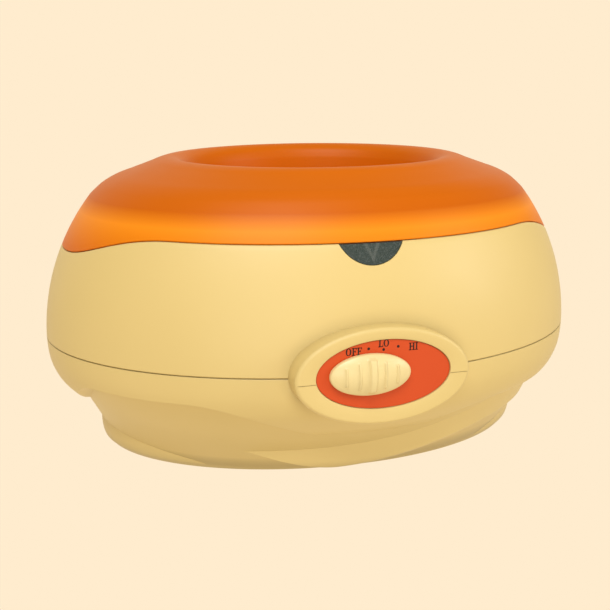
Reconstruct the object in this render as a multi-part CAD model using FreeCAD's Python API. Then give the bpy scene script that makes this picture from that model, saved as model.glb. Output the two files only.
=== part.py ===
"""Paraffin wax bath: an oval plastic case round a heated aluminium tank, with a lift-off lid.

Millimetres. +Z is up, -Y is the front with the temperature slider, X runs along the length.
The origin is the centre of the case on the surface that the rubber feet stand on.
Every sub-part is a closed solid (or a group of identical ones) written to parts/NAME.step.
"""

import FreeCAD, Part
import math
import os
from FreeCAD import Vector

# ---- case: heights and proportions -------------------------------------------------------------
BASE_UNDERSIDE = 1.2          # the feet lift the case this far
SEAM = 75.4                   # where the two halves of the case meet
SEAM_GAP = 0.6                # visible groove at the seam
RIM_FRONT = 153.0             # parting line of the lid at the front and back
RIM_ENDS = 137.0              # the same line at the two ends, where it dips
RIM_DIP_HALF = 90.0           # half-width of the dip, across the case
LID_GAP = 0.35                # the lid stands this far above the case rim
WALL = 2.8                    # moulded wall thickness
CASE_RATIO = 0.765            # depth over length of every plan section above the base
FAR = 400.0                   # larger than the object, for cutting tools

# The case wall leans in above the seam along one large arc.
CASE_HALF_X = 186.6           # at the seam, the widest level
SIDE_RADIUS = 152.0

# Plan sections of the base: (height, half-length, half-depth).
BASE_SECTIONS = [
    (BASE_UNDERSIDE, 148.0, 101.0), (15.0, 153.5, 108.5), (30.0, 160.0, 117.0), (40.0, 169.0, 127.0),
    (50.0, 179.5, 136.5), (61.0, 185.0, 141.4), (SEAM - SEAM_GAP / 2, CASE_HALF_X, CASE_HALF_X * CASE_RATIO),
]

# ---- lid ---------------------------------------------------------------------------------------
LID_WALL = 2.4
SHOULDER_START_Z = 170.0      # the side arc ends here
SHOULDER_MIDDLE = (144.2, 178.2)
SHOULDER_END = (127.0, 185.2)
CROWN_MIDDLE = (114.0, 190.0)
LIP_START = (103.5, 193.4)    # rounded lip of the well
LIP_MIDDLE = (95.6, 193.2)
LIP_END = (88.0, 187.4)
WELL_FOOT = (84.4, 163.0)
WELL_CORNER = (81.8, 158.0)
WELL_FLOOR_START = (76.6, 156.0)
GRIP_TOP = 172.0              # top of the bar moulded across the well
GRIP_HALF_WIDTH = 9.0
SKIRT_HALF_X = 160.2          # the rib under the lid that keeps it central
SKIRT_WALL = 1.8
SKIRT_LOW = 141.0
SKIRT_HIGH = 159.0

# ---- control panel -----------------------------------------------------------------------------
BEZEL_HALF_X = 55.2
BEZEL_HALF_Z = 30.0
BEZEL_Z = 76.8
BEZEL_FACE_Y = -152.0
BEZEL_BACK_Y = -131.0          # buried in the case wall
BEZEL_EDGE_ROUND = 4.0
WEB_FRONT_Y = -149.2          # the wall behind the orange plate
WEB_BACK_Y = -146.2
PLATE_HALF_X = 42.2
PLATE_HALF_Z = 21.0
PLATE_Z = 78.2
PLATE_FACE_Y = -151.0
SLIDER_TRAVEL = 20.0          # OFF to HI, along X
SLIDER_REST_X = -SLIDER_TRAVEL / 2
KNOB_HALF_X = 25.3
KNOB_HALF_Z = 12.7
KNOB_RIBS = ((0, 10.6, 1.3), (-8, 8.4, 0.6), (8, 8.4, 0.6), (-16, 6.0, 0.6), (16, 6.0, 0.6))
KNOB_HEIGHT = 5.0             # crown above the knob's edge
STEM_HALF_X = 4.0
STEM_HALF_Z = 4.0
SLIDE_CLEARANCE = 0.4

# ---- thermostat lever --------------------------------------------------------------------------
LEVER_AXIS_Y = -118.0
LEVER_REACH = 20.0            # from the shaft's axis to the line that the slider's pin runs along
LEVER_Z = (68.0, 71.0)
LEVER_SWING = 2 * math.degrees(math.atan(SLIDER_TRAVEL / 2 / LEVER_REACH))
PIN_RADIUS = 1.5
SHAFT_RADIUS = 2.5
SHAFT_CLEARANCE = 0.05
BRACKET_SCREW_X = (-11, 11)
BRACKET_SCREW_Y = -85
SHELF_Z = (46.5, 48.0)        # the thermostat stands on this shelf

# ---- tank --------------------------------------------------------------------------------------
TANK_RATIO = 0.66
TANK_WALL = 1.5
TANK_FLOOR = 43.5             # inside
TANK_FLOOR_HALF = 98.0        # half-length of the flat floor
TANK_CORNER = 22.0            # radius between floor and side
TANK_MOUTH_HALF = 136.0
DECK_TOP = 131.0
DECK_THICKNESS = 2.5
GASKET = 1.5
FLANGE_TOP = DECK_TOP + GASKET + TANK_WALL
FLANGE_HALF_X = 147.0
FLANGE_HALF_Y = 101.0
DECK_HOLE_HALF_X = 139.2
DECK_HOLE_HALF_Y = 92.8
FLANGE_STUD_X = 143.2
FLANGE_STUD_Y = 97.0
STUD_RADIUS = 2.0
HEATER_STUD_X = 60.0
HEATER_THICKNESS = 3.5
CLAMP_THICKNESS = 1.5
NUT_HEIGHT = 3.2
SHIELD_Z = 22.5
SHIELD_THICKNESS = 0.8

# ---- indicator lens and its lamps --------------------------------------------------------------
LENS_RADIUS = 22.2
LENS_BOTTOM = 140.4
LENS_CENTRE_Z = LENS_BOTTOM + LENS_RADIUS
LENS_GAP = 0.15
BAY_HALF_X = 26.0
BAY_BACK_Y = -106.0
BAY_ROOF = RIM_FRONT - 0.4
BAY_WALL = 2.0
LAMP_X = 9.5
LAMP_Z = 145.2
LAMP_RADIUS = 3.0

# ---- fixings and rear inlet --------------------------------------------------------------------
POST_X = 106.0
POST_Y = 61.0
POST_RADIUS = 5.4
UPPER_POST_RADIUS = 4.6
UPPER_POST_TOP = 104.0
SCREW_SEAT = 62.0             # height of the case screws' heads, up inside the posts
SCREW_RADIUS = 1.8
SCREW_LENGTH = 30.0
FOOT_X = 88.0
FOOT_Y = 48.0
FOOT_RADIUS = 8.5
FOOT_POCKET = 1.2
INLET_Z = 52.0
INLET_FACE_Y = 155.0
INLET_BOSS_HALF_X = 27.0
INLET_BOSS_HALF_Z = 15.0
INLET_PIN_X = 4.3
INLET_PIN_RADIUS = 1.2


# ---- general helpers ---------------------------------------------------------------------------
def box(x_range, y_range, z_range):
    corner = Vector(x_range[0], y_range[0], z_range[0])
    size = [high - low for low, high in (x_range, y_range, z_range)]
    return Part.makeBox(size[0], size[1], size[2], corner)


def rod(radius, start, end):
    start, end = Vector(*start), Vector(*end)
    return Part.makeCylinder(radius, (end - start).Length, start, end - start)


def tube(outer, inner, start, end):
    return rod(outer, start, end).cut(rod(inner, start, end))


def fused_group(shapes):
    return shapes[0].multiFuse(shapes[1:])


def mirrored_places(x, y):
    return [(sx * x, sy * y) for sx in (-1, 1) for sy in (-1, 1)]


def spline(points):
    curve = Part.BSplineCurve()
    curve.interpolate(points)
    return curve.toShape()


def oval_prism(half_x, half_y, z_low, z_high):
    """Upright prism with an elliptical plan; half_x is the larger half-axis."""
    outline = Part.Ellipse(Vector(0, 0, z_low), half_x, half_y).toShape()
    return Part.Face(Part.Wire([outline])).extrude(Vector(0, 0, z_high - z_low))


def oval_ring(outer, inner, z_low, z_high):
    return oval_prism(outer[0], outer[1], z_low, z_high).cut(oval_prism(inner[0], inner[1], z_low, z_high))


def front_oval(half_x, half_z, y_front, y_back, centre_z, centre_x=0.0):
    """Elliptical prism lying along Y, from y_front to y_back."""
    prism = oval_prism(half_x, half_z, 0, y_back - y_front)
    prism.rotate(Vector(), Vector(1, 0, 0), 90)
    prism.translate(Vector(centre_x, y_back, centre_z))
    return prism


def turned_oval(edges, ratio):
    """Solid with elliptical plan sections: a closed outline in the XZ plane turned about Z, narrowed in Y."""
    solid = Part.Face(Part.Wire(edges)).revolve(Vector(), Vector(0, 0, 1), 360)
    squash = FreeCAD.Matrix()
    squash.A22 = ratio
    return solid.transformGeometry(squash)


def line(start, end):
    return Part.LineSegment(Vector(start[0], 0, start[1]), Vector(end[0], 0, end[1])).toShape()


def arc(start, middle, end):
    return Part.Arc(*[Vector(x, 0, z) for x, z in (start, middle, end)]).toShape()


def rectangle_ring(inner, outer, z_low, z_high):
    """Ring of rectangular section that follows the case's oval plan."""
    corners = [(inner, z_low), (outer, z_low), (outer, z_high), (inner, z_high), (inner, z_low)]
    return turned_oval([line(p, q) for p, q in zip(corners, corners[1:])], CASE_RATIO)


def hexagon_nut(x, y, z_low, height, across_flats, bore):
    corners = []
    for i in range(7):
        angle = math.radians(60 * i)
        reach = across_flats / math.sqrt(3)
        corners.append(Vector(x + reach * math.cos(angle), y + reach * math.sin(angle), z_low))
    prism = Part.Face(Part.makePolygon(corners)).extrude(Vector(0, 0, height))
    return prism.cut(rod(bore, (x, y, z_low - 1), (x, y, z_low + height + 1)))


def pan_screw(head_at, direction, radius, length, head_radius, head_height):
    """Screw whose head bears at head_at; the shank runs along direction."""
    seat, way = Vector(*head_at), Vector(*direction)
    shank = Part.makeCylinder(radius, length, seat, way)
    head = Part.makeCylinder(head_radius, head_height, seat - way * head_height, way)
    slot_centre = seat - way * head_height
    across = Vector(way.y, way.z, way.x)
    slot = Part.makeCylinder(head_radius * 0.45, head_height * 0.5, slot_centre, way)
    slot_start = slot_centre - across * head_radius * 0.6
    cross = Part.makeCylinder(head_radius * 0.2, head_radius * 1.2, slot_start, across)
    return head.fuse(shank).cut(slot).cut(cross)


def bent_wire(points, radius, bend):
    """Round wire through the points, its corners rounded by tangent arcs."""
    corners = [Vector(*p) for p in points]
    edges, start = [], corners[0]
    for before, corner, after in zip(corners, corners[1:], corners[2:]):
        into = (before - corner).normalize()
        out = (after - corner).normalize()
        half_turn = (math.pi - into.getAngle(out)) / 2
        reach = bend * math.tan(half_turn)
        middle = corner + (into + out).normalize() * (bend / math.cos(half_turn) - bend)
        arc_start, arc_end = corner + into * reach, corner + out * reach
        edges.append(Part.LineSegment(start, arc_start).toShape())
        edges.append(Part.Arc(arc_start, middle, arc_end).toShape())
        start = arc_end
    edges.append(Part.LineSegment(start, corners[-1]).toShape())
    path = Part.Wire(edges)
    section = Part.Wire([Part.Circle(corners[0], corners[1] - corners[0], radius).toShape()])
    return path.makePipeShell([section], True, False)


# ---- shared forms of the case ------------------------------------------------------------------
def side_half(height, inward=0.0):
    """Half-length of the case wall at a height above the seam."""
    centre_x = CASE_HALF_X - SIDE_RADIUS
    return centre_x + math.sqrt((SIDE_RADIUS - inward) ** 2 - (height - SEAM) ** 2)


def side_point(height, inward=0.0):
    return (side_half(height, inward), height)


def side_arc(low, high, inward=0.0):
    return arc(side_point(low, inward), side_point((low + high) / 2, inward), side_point(high, inward))


def wall_ring(outer_inward, inner_inward, low, high):
    """Part of the case wall between two depths below its surface and two heights."""
    edges = [
        side_arc(low, high, outer_inward),
        line(side_point(high, outer_inward), side_point(high, inner_inward)),
        side_arc(high, low, inner_inward),
        line(side_point(low, inner_inward), side_point(low, outer_inward)),
    ]
    return turned_oval(edges, CASE_RATIO)


def case_core(inward, low, high):
    """Everything inside the case wall between two heights."""
    edges = [
        line((0, low), side_point(low, inward)),
        side_arc(low, high, inward),
        line(side_point(high, inward), (0, high)),
        line((0, high), (0, low)),
    ]
    return turned_oval(edges, CASE_RATIO)


def rim_height(y):
    """Height of the lid's parting line, which dips towards the ends of the case."""
    if abs(y) >= RIM_DIP_HALF:
        return RIM_FRONT
    rise = math.sin(math.pi * abs(y) / (2 * RIM_DIP_HALF)) ** 3.4
    return RIM_ENDS + (RIM_FRONT - RIM_ENDS) * rise


def below_rim(offset):
    """Everything under the parting line, moved up by offset."""
    steps = 18
    ys = [RIM_DIP_HALF * (2 * i / steps - 1) for i in range(steps + 1)]
    dip = [Vector(-FAR, y, rim_height(y) + offset) for y in ys]
    level = RIM_FRONT + offset
    edges = [
        Part.LineSegment(Vector(-FAR, -FAR, -FAR), Vector(-FAR, -FAR, level)).toShape(),
        Part.LineSegment(Vector(-FAR, -FAR, level), dip[0]).toShape(),
        spline(dip),
        Part.LineSegment(dip[-1], Vector(-FAR, FAR, level)).toShape(),
        Part.LineSegment(Vector(-FAR, FAR, level), Vector(-FAR, FAR, -FAR)).toShape(),
        Part.LineSegment(Vector(-FAR, FAR, -FAR), Vector(-FAR, -FAR, -FAR)).toShape(),
    ]
    return Part.Face(Part.Wire(edges)).extrude(Vector(2 * FAR, 0, 0))


def oval_wire(height, half_x, half_y):
    return Part.Wire([Part.Ellipse(Vector(0, 0, height), half_x, half_y).toShape()])


def base_shell():
    """The base as an open-topped shell, built directly from its outer and inner faces."""
    outer = [oval_wire(*section) for section in BASE_SECTIONS]
    inner = [oval_wire(max(z, BASE_UNDERSIDE + WALL), a - WALL, b - WALL) for z, a, b in BASE_SECTIONS]
    rim = Part.Face(outer[-1]).cut(Part.Face(inner[-1]))
    faces = Part.makeLoft(outer, False).Faces + Part.makeLoft(inner, False).Faces + rim.Faces
    faces += [Part.Face(outer[0]), Part.Face(inner[0])]
    shell = Part.Shell(faces)
    shell.sewShape()
    solid = Part.Solid(shell)
    if solid.Volume < 0:
        solid.reverse()
    return solid


def bezel_block():
    """Raised oval round the control panel, before it is hollowed."""
    block = front_oval(BEZEL_HALF_X, BEZEL_HALF_Z, BEZEL_FACE_Y, BEZEL_BACK_Y, BEZEL_Z)
    front_edges = [e for e in block.Edges if abs(e.BoundBox.YMax - BEZEL_FACE_Y) < 0.01]
    return block.makeFillet(BEZEL_EDGE_ROUND, front_edges)


def bezel_hollows():
    """Recess for the orange plate, the window for the slider and the hollow behind it."""
    recess = front_oval(PLATE_HALF_X + 0.3, PLATE_HALF_Z + 0.3, BEZEL_FACE_Y - 5, WEB_FRONT_Y, PLATE_Z)
    hollow = front_oval(BEZEL_HALF_X - WALL, BEZEL_HALF_Z - WALL, WEB_BACK_Y, -112.0, BEZEL_Z)
    reach = SLIDER_TRAVEL / 2 + STEM_HALF_X + 1.5
    window = box((-reach, reach), (WEB_FRONT_Y - 1, WEB_BACK_Y + 1), (PLATE_Z - 6, PLATE_Z + 6))
    return [recess, hollow, window] + [rod(1.5, (x, -150, PLATE_Z), (x, -145, PLATE_Z)) for x in (-29, 29)]


# ---- case halves -------------------------------------------------------------------------------
def lower_housing():
    level = SEAM - SEAM_GAP / 2
    under_seam = box((-FAR, FAR), (-FAR, FAR), (-FAR, level))
    shell = base_shell()
    bezel = bezel_block().common(under_seam)
    shell = shell.fuse(bezel).fuse(inlet_boss_block())
    for tool in bezel_hollows() + inlet_boss_hollows():
        shell = shell.cut(tool)
    tongue = rectangle_ring(side_half(SEAM, 2.4), side_half(SEAM, 1.5), level - 1.5, SEAM + 2.4)
    shell = shell.fuse(tongue.cut(front_panel_zone()))
    low = BASE_UNDERSIDE + 1
    posts = [rod(POST_RADIUS, (x, y, low), (x, y, level)) for x, y in mirrored_places(POST_X, POST_Y)]
    shell = shell.fuse(posts)
    cuts = []
    for x, y in mirrored_places(POST_X, POST_Y):
        cuts.append(rod(3.9, (x, y, -1), (x, y, SCREW_SEAT)))
        cuts.append(rod(SCREW_RADIUS + 0.3, (x, y, SCREW_SEAT - 1), (x, y, SEAM + 1)))
    for x, y in mirrored_places(FOOT_X, FOOT_Y):
        cuts.append(rod(FOOT_RADIUS + 0.05, (x, y, -1), (x, y, BASE_UNDERSIDE + FOOT_POCKET)))
    for x in BRACKET_SCREW_X:
        pilot = (x, BRACKET_SCREW_Y, BASE_UNDERSIDE + 0.6)
        cuts.append(rod(1.55, pilot, (x, BRACKET_SCREW_Y, BASE_UNDERSIDE + WALL + 1)))
    return shell.cut(cuts + vent_slots())


def front_panel_zone():
    return box((-BEZEL_HALF_X + 1, BEZEL_HALF_X - 1), (-170, -100), (SEAM - 12, SEAM + 12))


def vent_slots():
    """Two rows of cooling slots through the floor."""
    slots = []
    for side in (-1, 1):
        for i in range(7):
            x = side * (22 + 9 * i)
            slots.append(box((x - 1.5, x + 1.5), (-22, 22), (-1, BASE_UNDERSIDE + WALL + 1)))
    return slots


def inlet_boss_block():
    block = box((-INLET_BOSS_HALF_X, INLET_BOSS_HALF_X), (118, INLET_FACE_Y),
                (INLET_Z - INLET_BOSS_HALF_Z, INLET_Z + INLET_BOSS_HALF_Z))
    upright = [e for e in block.Edges if e.BoundBox.YLength > 20]
    block = block.makeFillet(6.0, upright)
    rear = [e for e in block.Edges if abs(e.BoundBox.YMin - INLET_FACE_Y) < 0.01]
    return block.makeFillet(2.0, rear)


def inlet_boss_hollows():
    half_x, half_z = INLET_BOSS_HALF_X - WALL, INLET_BOSS_HALF_Z - WALL
    hollow = box((-half_x, half_x), (112, INLET_FACE_Y - 3.0), (INLET_Z - half_z, INLET_Z + half_z))
    opening = box((-12.3, 12.3), (INLET_FACE_Y - 5, INLET_FACE_Y + 1), (INLET_Z - 8.3, INLET_Z + 8.3))
    screws = [rod(1.7, (x, INLET_FACE_Y - 6, INLET_Z), (x, INLET_FACE_Y + 1, INLET_Z)) for x in (-18, 18)]
    return [hollow, opening] + screws


def upper_housing():
    level = SEAM + SEAM_GAP / 2
    shell = wall_ring(0, WALL, level, RIM_FRONT + 4)
    bezel = bezel_block().common(box((-FAR, FAR), (-FAR, FAR), (level, FAR)))
    shell = shell.fuse(bezel)
    for tool in bezel_hollows():
        shell = shell.cut(tool)
    shell = shell.common(below_rim(0))
    groove = rectangle_ring(side_half(SEAM, WALL + 4), side_half(SEAM, 1.3), SEAM - 1, SEAM + 2.7)
    shell = shell.cut(groove.cut(front_panel_zone()))
    deck_half = side_half(DECK_TOP - DECK_THICKNESS / 2, WALL / 2)
    deck = oval_prism(deck_half, deck_half * CASE_RATIO, DECK_TOP - DECK_THICKNESS, DECK_TOP)
    bay = box((-BAY_HALF_X, BAY_HALF_X), (-140, BAY_BACK_Y), (DECK_TOP - 1, BAY_ROOF))
    bay = bay.common(case_core(1.0, DECK_TOP - 5, BAY_ROOF + 2))
    shell = shell.fuse([deck, bay])
    shell = shell.fuse(upper_posts(level))
    shell = shell.cut(oval_prism(DECK_HOLE_HALF_X, DECK_HOLE_HALF_Y, SEAM, RIM_FRONT + 5))
    shell = shell.cut(lamp_bay_hollow()).cut(lens_blank(LENS_GAP))
    depth = level + SCREW_LENGTH - 8
    holes = [rod(1.6, (x, y, level - 1), (x, y, depth)) for x, y in mirrored_places(POST_X, POST_Y)]
    holes += [rod(STUD_RADIUS + 0.3, (x, y, 120), (x, y, 135)) for x, y in flange_stud_places()]
    return shell.cut(holes)


def upper_posts(level):
    """Screw posts, each hung from the deck by an upright rib."""
    pieces = []
    reach = math.hypot(POST_X, POST_Y)
    for x, y in mirrored_places(POST_X, POST_Y):
        pieces.append(rod(UPPER_POST_RADIUS, (x, y, level), (x, y, UPPER_POST_TOP)))
        rib_plate = box((reach * 1.02, reach * 1.30), (-1.0, 1.0), (SEAM + 3.0, DECK_TOP - 1))
        rib_plate.rotate(Vector(), Vector(0, 0, 1), math.degrees(math.atan2(y, x)))
        pieces.append(rib_plate)
    return pieces


def lamp_bay_hollow():
    room = box((-BAY_HALF_X + BAY_WALL, BAY_HALF_X - BAY_WALL), (-140, BAY_BACK_Y - BAY_WALL),
               (DECK_TOP - DECK_THICKNESS - 1, BAY_ROOF - BAY_WALL))
    return room.common(case_core(WALL, DECK_TOP - 8, BAY_ROOF + 2))


def lens_blank(gap):
    """Half-moon that the indicator lens fills, cut through the case wall and open at the rim."""
    disc = rod(LENS_RADIUS + gap, (0, -145, LENS_CENTRE_Z), (0, -112, LENS_CENTRE_Z))
    return disc.common(box((-FAR, FAR), (-145, -112), (0, RIM_FRONT + 5)))


def rubber_feet():
    return Part.makeCompound([foot(x, y) for x, y in mirrored_places(FOOT_X, FOOT_Y)])


def foot(x, y):
    pad = rod(FOOT_RADIUS, (x, y, 0), (x, y, BASE_UNDERSIDE + FOOT_POCKET))
    low_edge = [e for e in pad.Edges if abs(e.BoundBox.ZMax) < 0.01]
    return pad.makeFillet(0.6, low_edge)


def case_screws():
    screws = []
    for x, y in mirrored_places(POST_X, POST_Y):
        screws.append(pan_screw((x, y, SCREW_SEAT), (0, 0, 1), 1.55, SCREW_LENGTH, 3.5, 2.6))
    return Part.makeCompound(screws)


# ---- tank and heater ---------------------------------------------------------------------------
def tank_outline(outward):
    """Wire of the tank's side in the XZ plane: flat floor, round corner, straight side to the mouth."""
    floor, radius = TANK_FLOOR - outward, TANK_CORNER + outward
    centre = Vector(TANK_FLOOR_HALF, 0, TANK_FLOOR + TANK_CORNER)
    start = Vector(TANK_FLOOR_HALF, 0, floor)
    lean = math.atan2(TANK_MOUTH_HALF - TANK_FLOOR_HALF - TANK_CORNER, FLANGE_TOP - centre.z)
    end = centre + Vector(math.cos(lean), 0, -math.sin(lean)) * radius
    middle_angle = (-math.pi / 2 - lean) / 2
    middle = centre + Vector(math.cos(middle_angle), 0, math.sin(middle_angle)) * radius
    mouth = Vector(end.x + math.tan(lean) * (FLANGE_TOP - end.z), 0, FLANGE_TOP)
    edges = [
        Part.LineSegment(Vector(0, 0, floor), start).toShape(),
        Part.Arc(start, middle, end).toShape(),
        Part.LineSegment(end, mouth).toShape(),
        Part.LineSegment(mouth, Vector(0, 0, FLANGE_TOP)).toShape(),
        Part.LineSegment(Vector(0, 0, FLANGE_TOP), Vector(0, 0, floor)).toShape(),
    ]
    return Part.Wire(edges)


def tank_form(outward):
    solid = Part.Face(tank_outline(outward)).revolve(Vector(), Vector(0, 0, 1), 360)
    squash = FreeCAD.Matrix()
    squash.A22 = TANK_RATIO
    return solid.transformGeometry(squash)


def tank():
    flange = oval_prism(FLANGE_HALF_X, FLANGE_HALF_Y, FLANGE_TOP - TANK_WALL, FLANGE_TOP)
    bowl = tank_form(TANK_WALL).fuse(flange)
    return bowl.cut(tank_form(0))


def tank_gasket():
    outer, inner = (FLANGE_HALF_X, FLANGE_HALF_Y), (DECK_HOLE_HALF_X, DECK_HOLE_HALF_Y)
    ring = oval_ring(outer, inner, DECK_TOP, DECK_TOP + GASKET)
    holes = [rod(STUD_RADIUS + 0.3, (x, y, 120), (x, y, 135)) for x, y in flange_stud_places()]
    return ring.cut(Part.makeCompound(holes))


def flange_stud_places():
    return [(-FLANGE_STUD_X, 0), (FLANGE_STUD_X, 0), (0, -FLANGE_STUD_Y), (0, FLANGE_STUD_Y)]


def flange_studs():
    top = FLANGE_TOP - TANK_WALL
    studs = [rod(STUD_RADIUS, (x, y, top - 12), (x, y, top)) for x, y in flange_stud_places()]
    return Part.makeCompound(studs)


def flange_nuts():
    low = DECK_TOP - DECK_THICKNESS - NUT_HEIGHT
    nuts = [hexagon_nut(x, y, low, NUT_HEIGHT, 7.0, STUD_RADIUS + 0.02) for x, y in flange_stud_places()]
    return Part.makeCompound(nuts)


def insulation_band():
    low, high = 66.0, 96.0
    slab = box((-FAR, FAR), (-FAR, FAR), (low, high))
    return tank_form(TANK_WALL + 3.6).common(slab).cut(tank_form(TANK_WALL + 0.4))


def heater_top():
    return TANK_FLOOR - TANK_WALL


def heater_places():
    return [(-HEATER_STUD_X, 0), (HEATER_STUD_X, 0)]


def heater_studs():
    studs = [rod(STUD_RADIUS, (x, y, 18.0), (x, y, heater_top())) for x, y in heater_places()]
    return Part.makeCompound(studs)


def heater_holes(z_low, z_high):
    holes = [rod(STUD_RADIUS + 0.3, (x, y, z_low), (x, y, z_high)) for x, y in heater_places()]
    return Part.makeCompound(holes)


def heater_plate():
    low = heater_top() - HEATER_THICKNESS
    plate = oval_ring((92, 52), (34, 16), low, heater_top())
    return plate.cut(heater_holes(low - 1, heater_top() + 1))


def heater_clamp_plate():
    high = heater_top() - HEATER_THICKNESS
    plate = box((-78, 78), (-12, 12), (high - CLAMP_THICKNESS, high))
    corners = [e for e in plate.Edges if e.BoundBox.ZLength > 1]
    fuse_window = box((-8, 8), (-4, 4), (20, 42))
    return plate.makeFillet(8.0, corners).cut(heater_holes(20, 42)).cut(fuse_window)


def heater_nuts():
    low = heater_top() - HEATER_THICKNESS - CLAMP_THICKNESS - NUT_HEIGHT
    nuts = [hexagon_nut(x, y, low, NUT_HEIGHT, 7.0, STUD_RADIUS + 0.02) for x, y in heater_places()]
    return Part.makeCompound(nuts)


def shield_spacers():
    high = heater_top() - HEATER_THICKNESS - CLAMP_THICKNESS - NUT_HEIGHT
    low = SHIELD_Z + SHIELD_THICKNESS
    tubes = [tube(3.5, STUD_RADIUS + 0.1, (x, y, low), (x, y, high)) for x, y in heater_places()]
    return Part.makeCompound(tubes)


def heat_shield():
    half_x, half_y, thick = 112, 72, SHIELD_THICKNESS
    outer = oval_prism(half_x, half_y, SHIELD_Z, SHIELD_Z + 5)
    inner = oval_prism(half_x - thick, half_y - thick, SHIELD_Z + thick, SHIELD_Z + 6)
    return outer.cut(inner).cut(heater_holes(20, 30))


def shield_nuts():
    low = SHIELD_Z - NUT_HEIGHT
    nuts = [hexagon_nut(x, y, low, NUT_HEIGHT, 7.0, STUD_RADIUS + 0.02) for x, y in heater_places()]
    return Part.makeCompound(nuts)


def thermal_fuse():
    return rod(2.0, (-6, 0, heater_top() - 2.0), (6, 0, heater_top() - 2.0))


def fuse_clip():
    strap = tube(2.8, 2.05, (-2, 0, heater_top() - 2.0), (2, 0, heater_top() - 2.0))
    return strap.common(box((-9, 9), (-9, 9), (0, heater_top())))


def hand_guard_grille():
    low = TANK_FLOOR + 6.0
    plate = oval_prism(106, 66, low, low + 3.0)
    slots = []
    for column in range(-9, 10):
        for row in (-1, 0, 1):
            x, y = column * 10.6, row * 36.0
            slot = box((x - 3.0, x + 3.0), (y - 14.5, y + 14.5), (low - 1, low + 4))
            if (abs(x) + 3) ** 2 / 99 ** 2 + (abs(y) + 14.5) ** 2 / 60 ** 2 < 1:
                slots.append(slot)
    legs = [rod(4.0, (x, y, TANK_FLOOR), (x, y, low + 1)) for x, y in mirrored_places(69.0, 37.0)]
    grips = [rod(5.0, (x, 0, low + 2), (x, 0, low + 16)) for x in (-94, 94)]
    return plate.cut(Part.makeCompound(slots)).fuse(fused_group(legs + grips))


# ---- lid ---------------------------------------------------------------------------------------
def lid_section():
    """Edges of the lid's section: outer surface down into the well, then the underside back to the rim."""
    low = RIM_ENDS - 3

    def under(point, across, down):
        return (point[0] + across * LID_WALL, point[1] + down * LID_WALL)

    shoulder_start = side_point(SHOULDER_START_Z)
    floor_middle = (0, WELL_FLOOR_START[1])
    outer = [
        side_arc(low, SHOULDER_START_Z),
        arc(shoulder_start, SHOULDER_MIDDLE, SHOULDER_END),
        arc(SHOULDER_END, CROWN_MIDDLE, LIP_START),
        arc(LIP_START, LIP_MIDDLE, LIP_END),
        line(LIP_END, WELL_FOOT),
        arc(WELL_FOOT, WELL_CORNER, WELL_FLOOR_START),
        line(WELL_FLOOR_START, floor_middle),
    ]
    under_start = side_point(SHOULDER_START_Z - 1.4, LID_WALL)
    under_shoulder = under(SHOULDER_END, -0.35, -0.94)
    under_lip = under(LIP_START, -0.2, -0.98)
    under_wall = under(LIP_END, 0.95, -0.8)
    under_foot = under(WELL_FOOT, 0.95, -0.3)
    under_floor = under(WELL_FLOOR_START, 0.0, -1.0)
    underside = [
        line(floor_middle, under(floor_middle, 0.0, -1.0)),
        line(under(floor_middle, 0.0, -1.0), under_floor),
        arc(under_floor, under(WELL_CORNER, 0.7, -0.7), under_foot),
        line(under_foot, under_wall),
        line(under_wall, under_lip),
        arc(under_lip, under(CROWN_MIDDLE, -0.22, -0.97), under_shoulder),
        arc(under_shoulder, under(SHOULDER_MIDDLE, -0.6, -0.8), under_start),
        side_arc(SHOULDER_START_Z - 1.4, low, LID_WALL),
        line(side_point(low, LID_WALL), side_point(low)),
    ]
    return outer + underside


def lid():
    shell = turned_oval(lid_section(), CASE_RATIO)
    shell = shell.cut(below_rim(LID_GAP))
    skirt = rectangle_ring(SKIRT_HALF_X - SKIRT_WALL, SKIRT_HALF_X, SKIRT_LOW, SKIRT_HIGH)
    skirt = skirt.cut(box((-32, 32), (-FAR, -60), (0, RIM_FRONT + 1.5)))
    return shell.fuse([skirt, grip_bar()])


def grip_bar():
    """Bar moulded across the well, narrower at the top."""
    width, low, top = GRIP_HALF_WIDTH, WELL_FLOOR_START[1] - 1, GRIP_TOP
    corners = [(-width - 2, low), (width + 2, low), (width, top), (-width, top)]
    reach = WELL_FOOT[0] * CASE_RATIO + 1
    wire = Part.makePolygon([Vector(x, -reach, z) for x, z in corners + corners[:1]])
    bar = Part.Face(wire).extrude(Vector(0, 2 * reach, 0))
    long_edges = [e for e in bar.Edges if e.BoundBox.YLength > 100 and e.BoundBox.ZMax > top - 0.1]
    return bar.makeFillet(4.0, [e for e in long_edges if e.BoundBox.ZMin > top - 0.1])


# ---- control panel -----------------------------------------------------------------------------
def control_plate():
    plate = front_oval(PLATE_HALF_X, PLATE_HALF_Z, PLATE_FACE_Y, WEB_FRONT_Y, PLATE_Z)
    reach = SLIDER_TRAVEL / 2 + STEM_HALF_X + SLIDE_CLEARANCE
    high = STEM_HALF_Z + SLIDE_CLEARANCE
    slot = box((-reach, reach), (-155, -145), (PLATE_Z - high, PLATE_Z + high))
    pilots = [rod(1.05, (x, -150.4, PLATE_Z), (x, -145, PLATE_Z)) for x in (-29, 29)]
    return plate.cut(slot).cut(Part.makeCompound(pilots))


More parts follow.
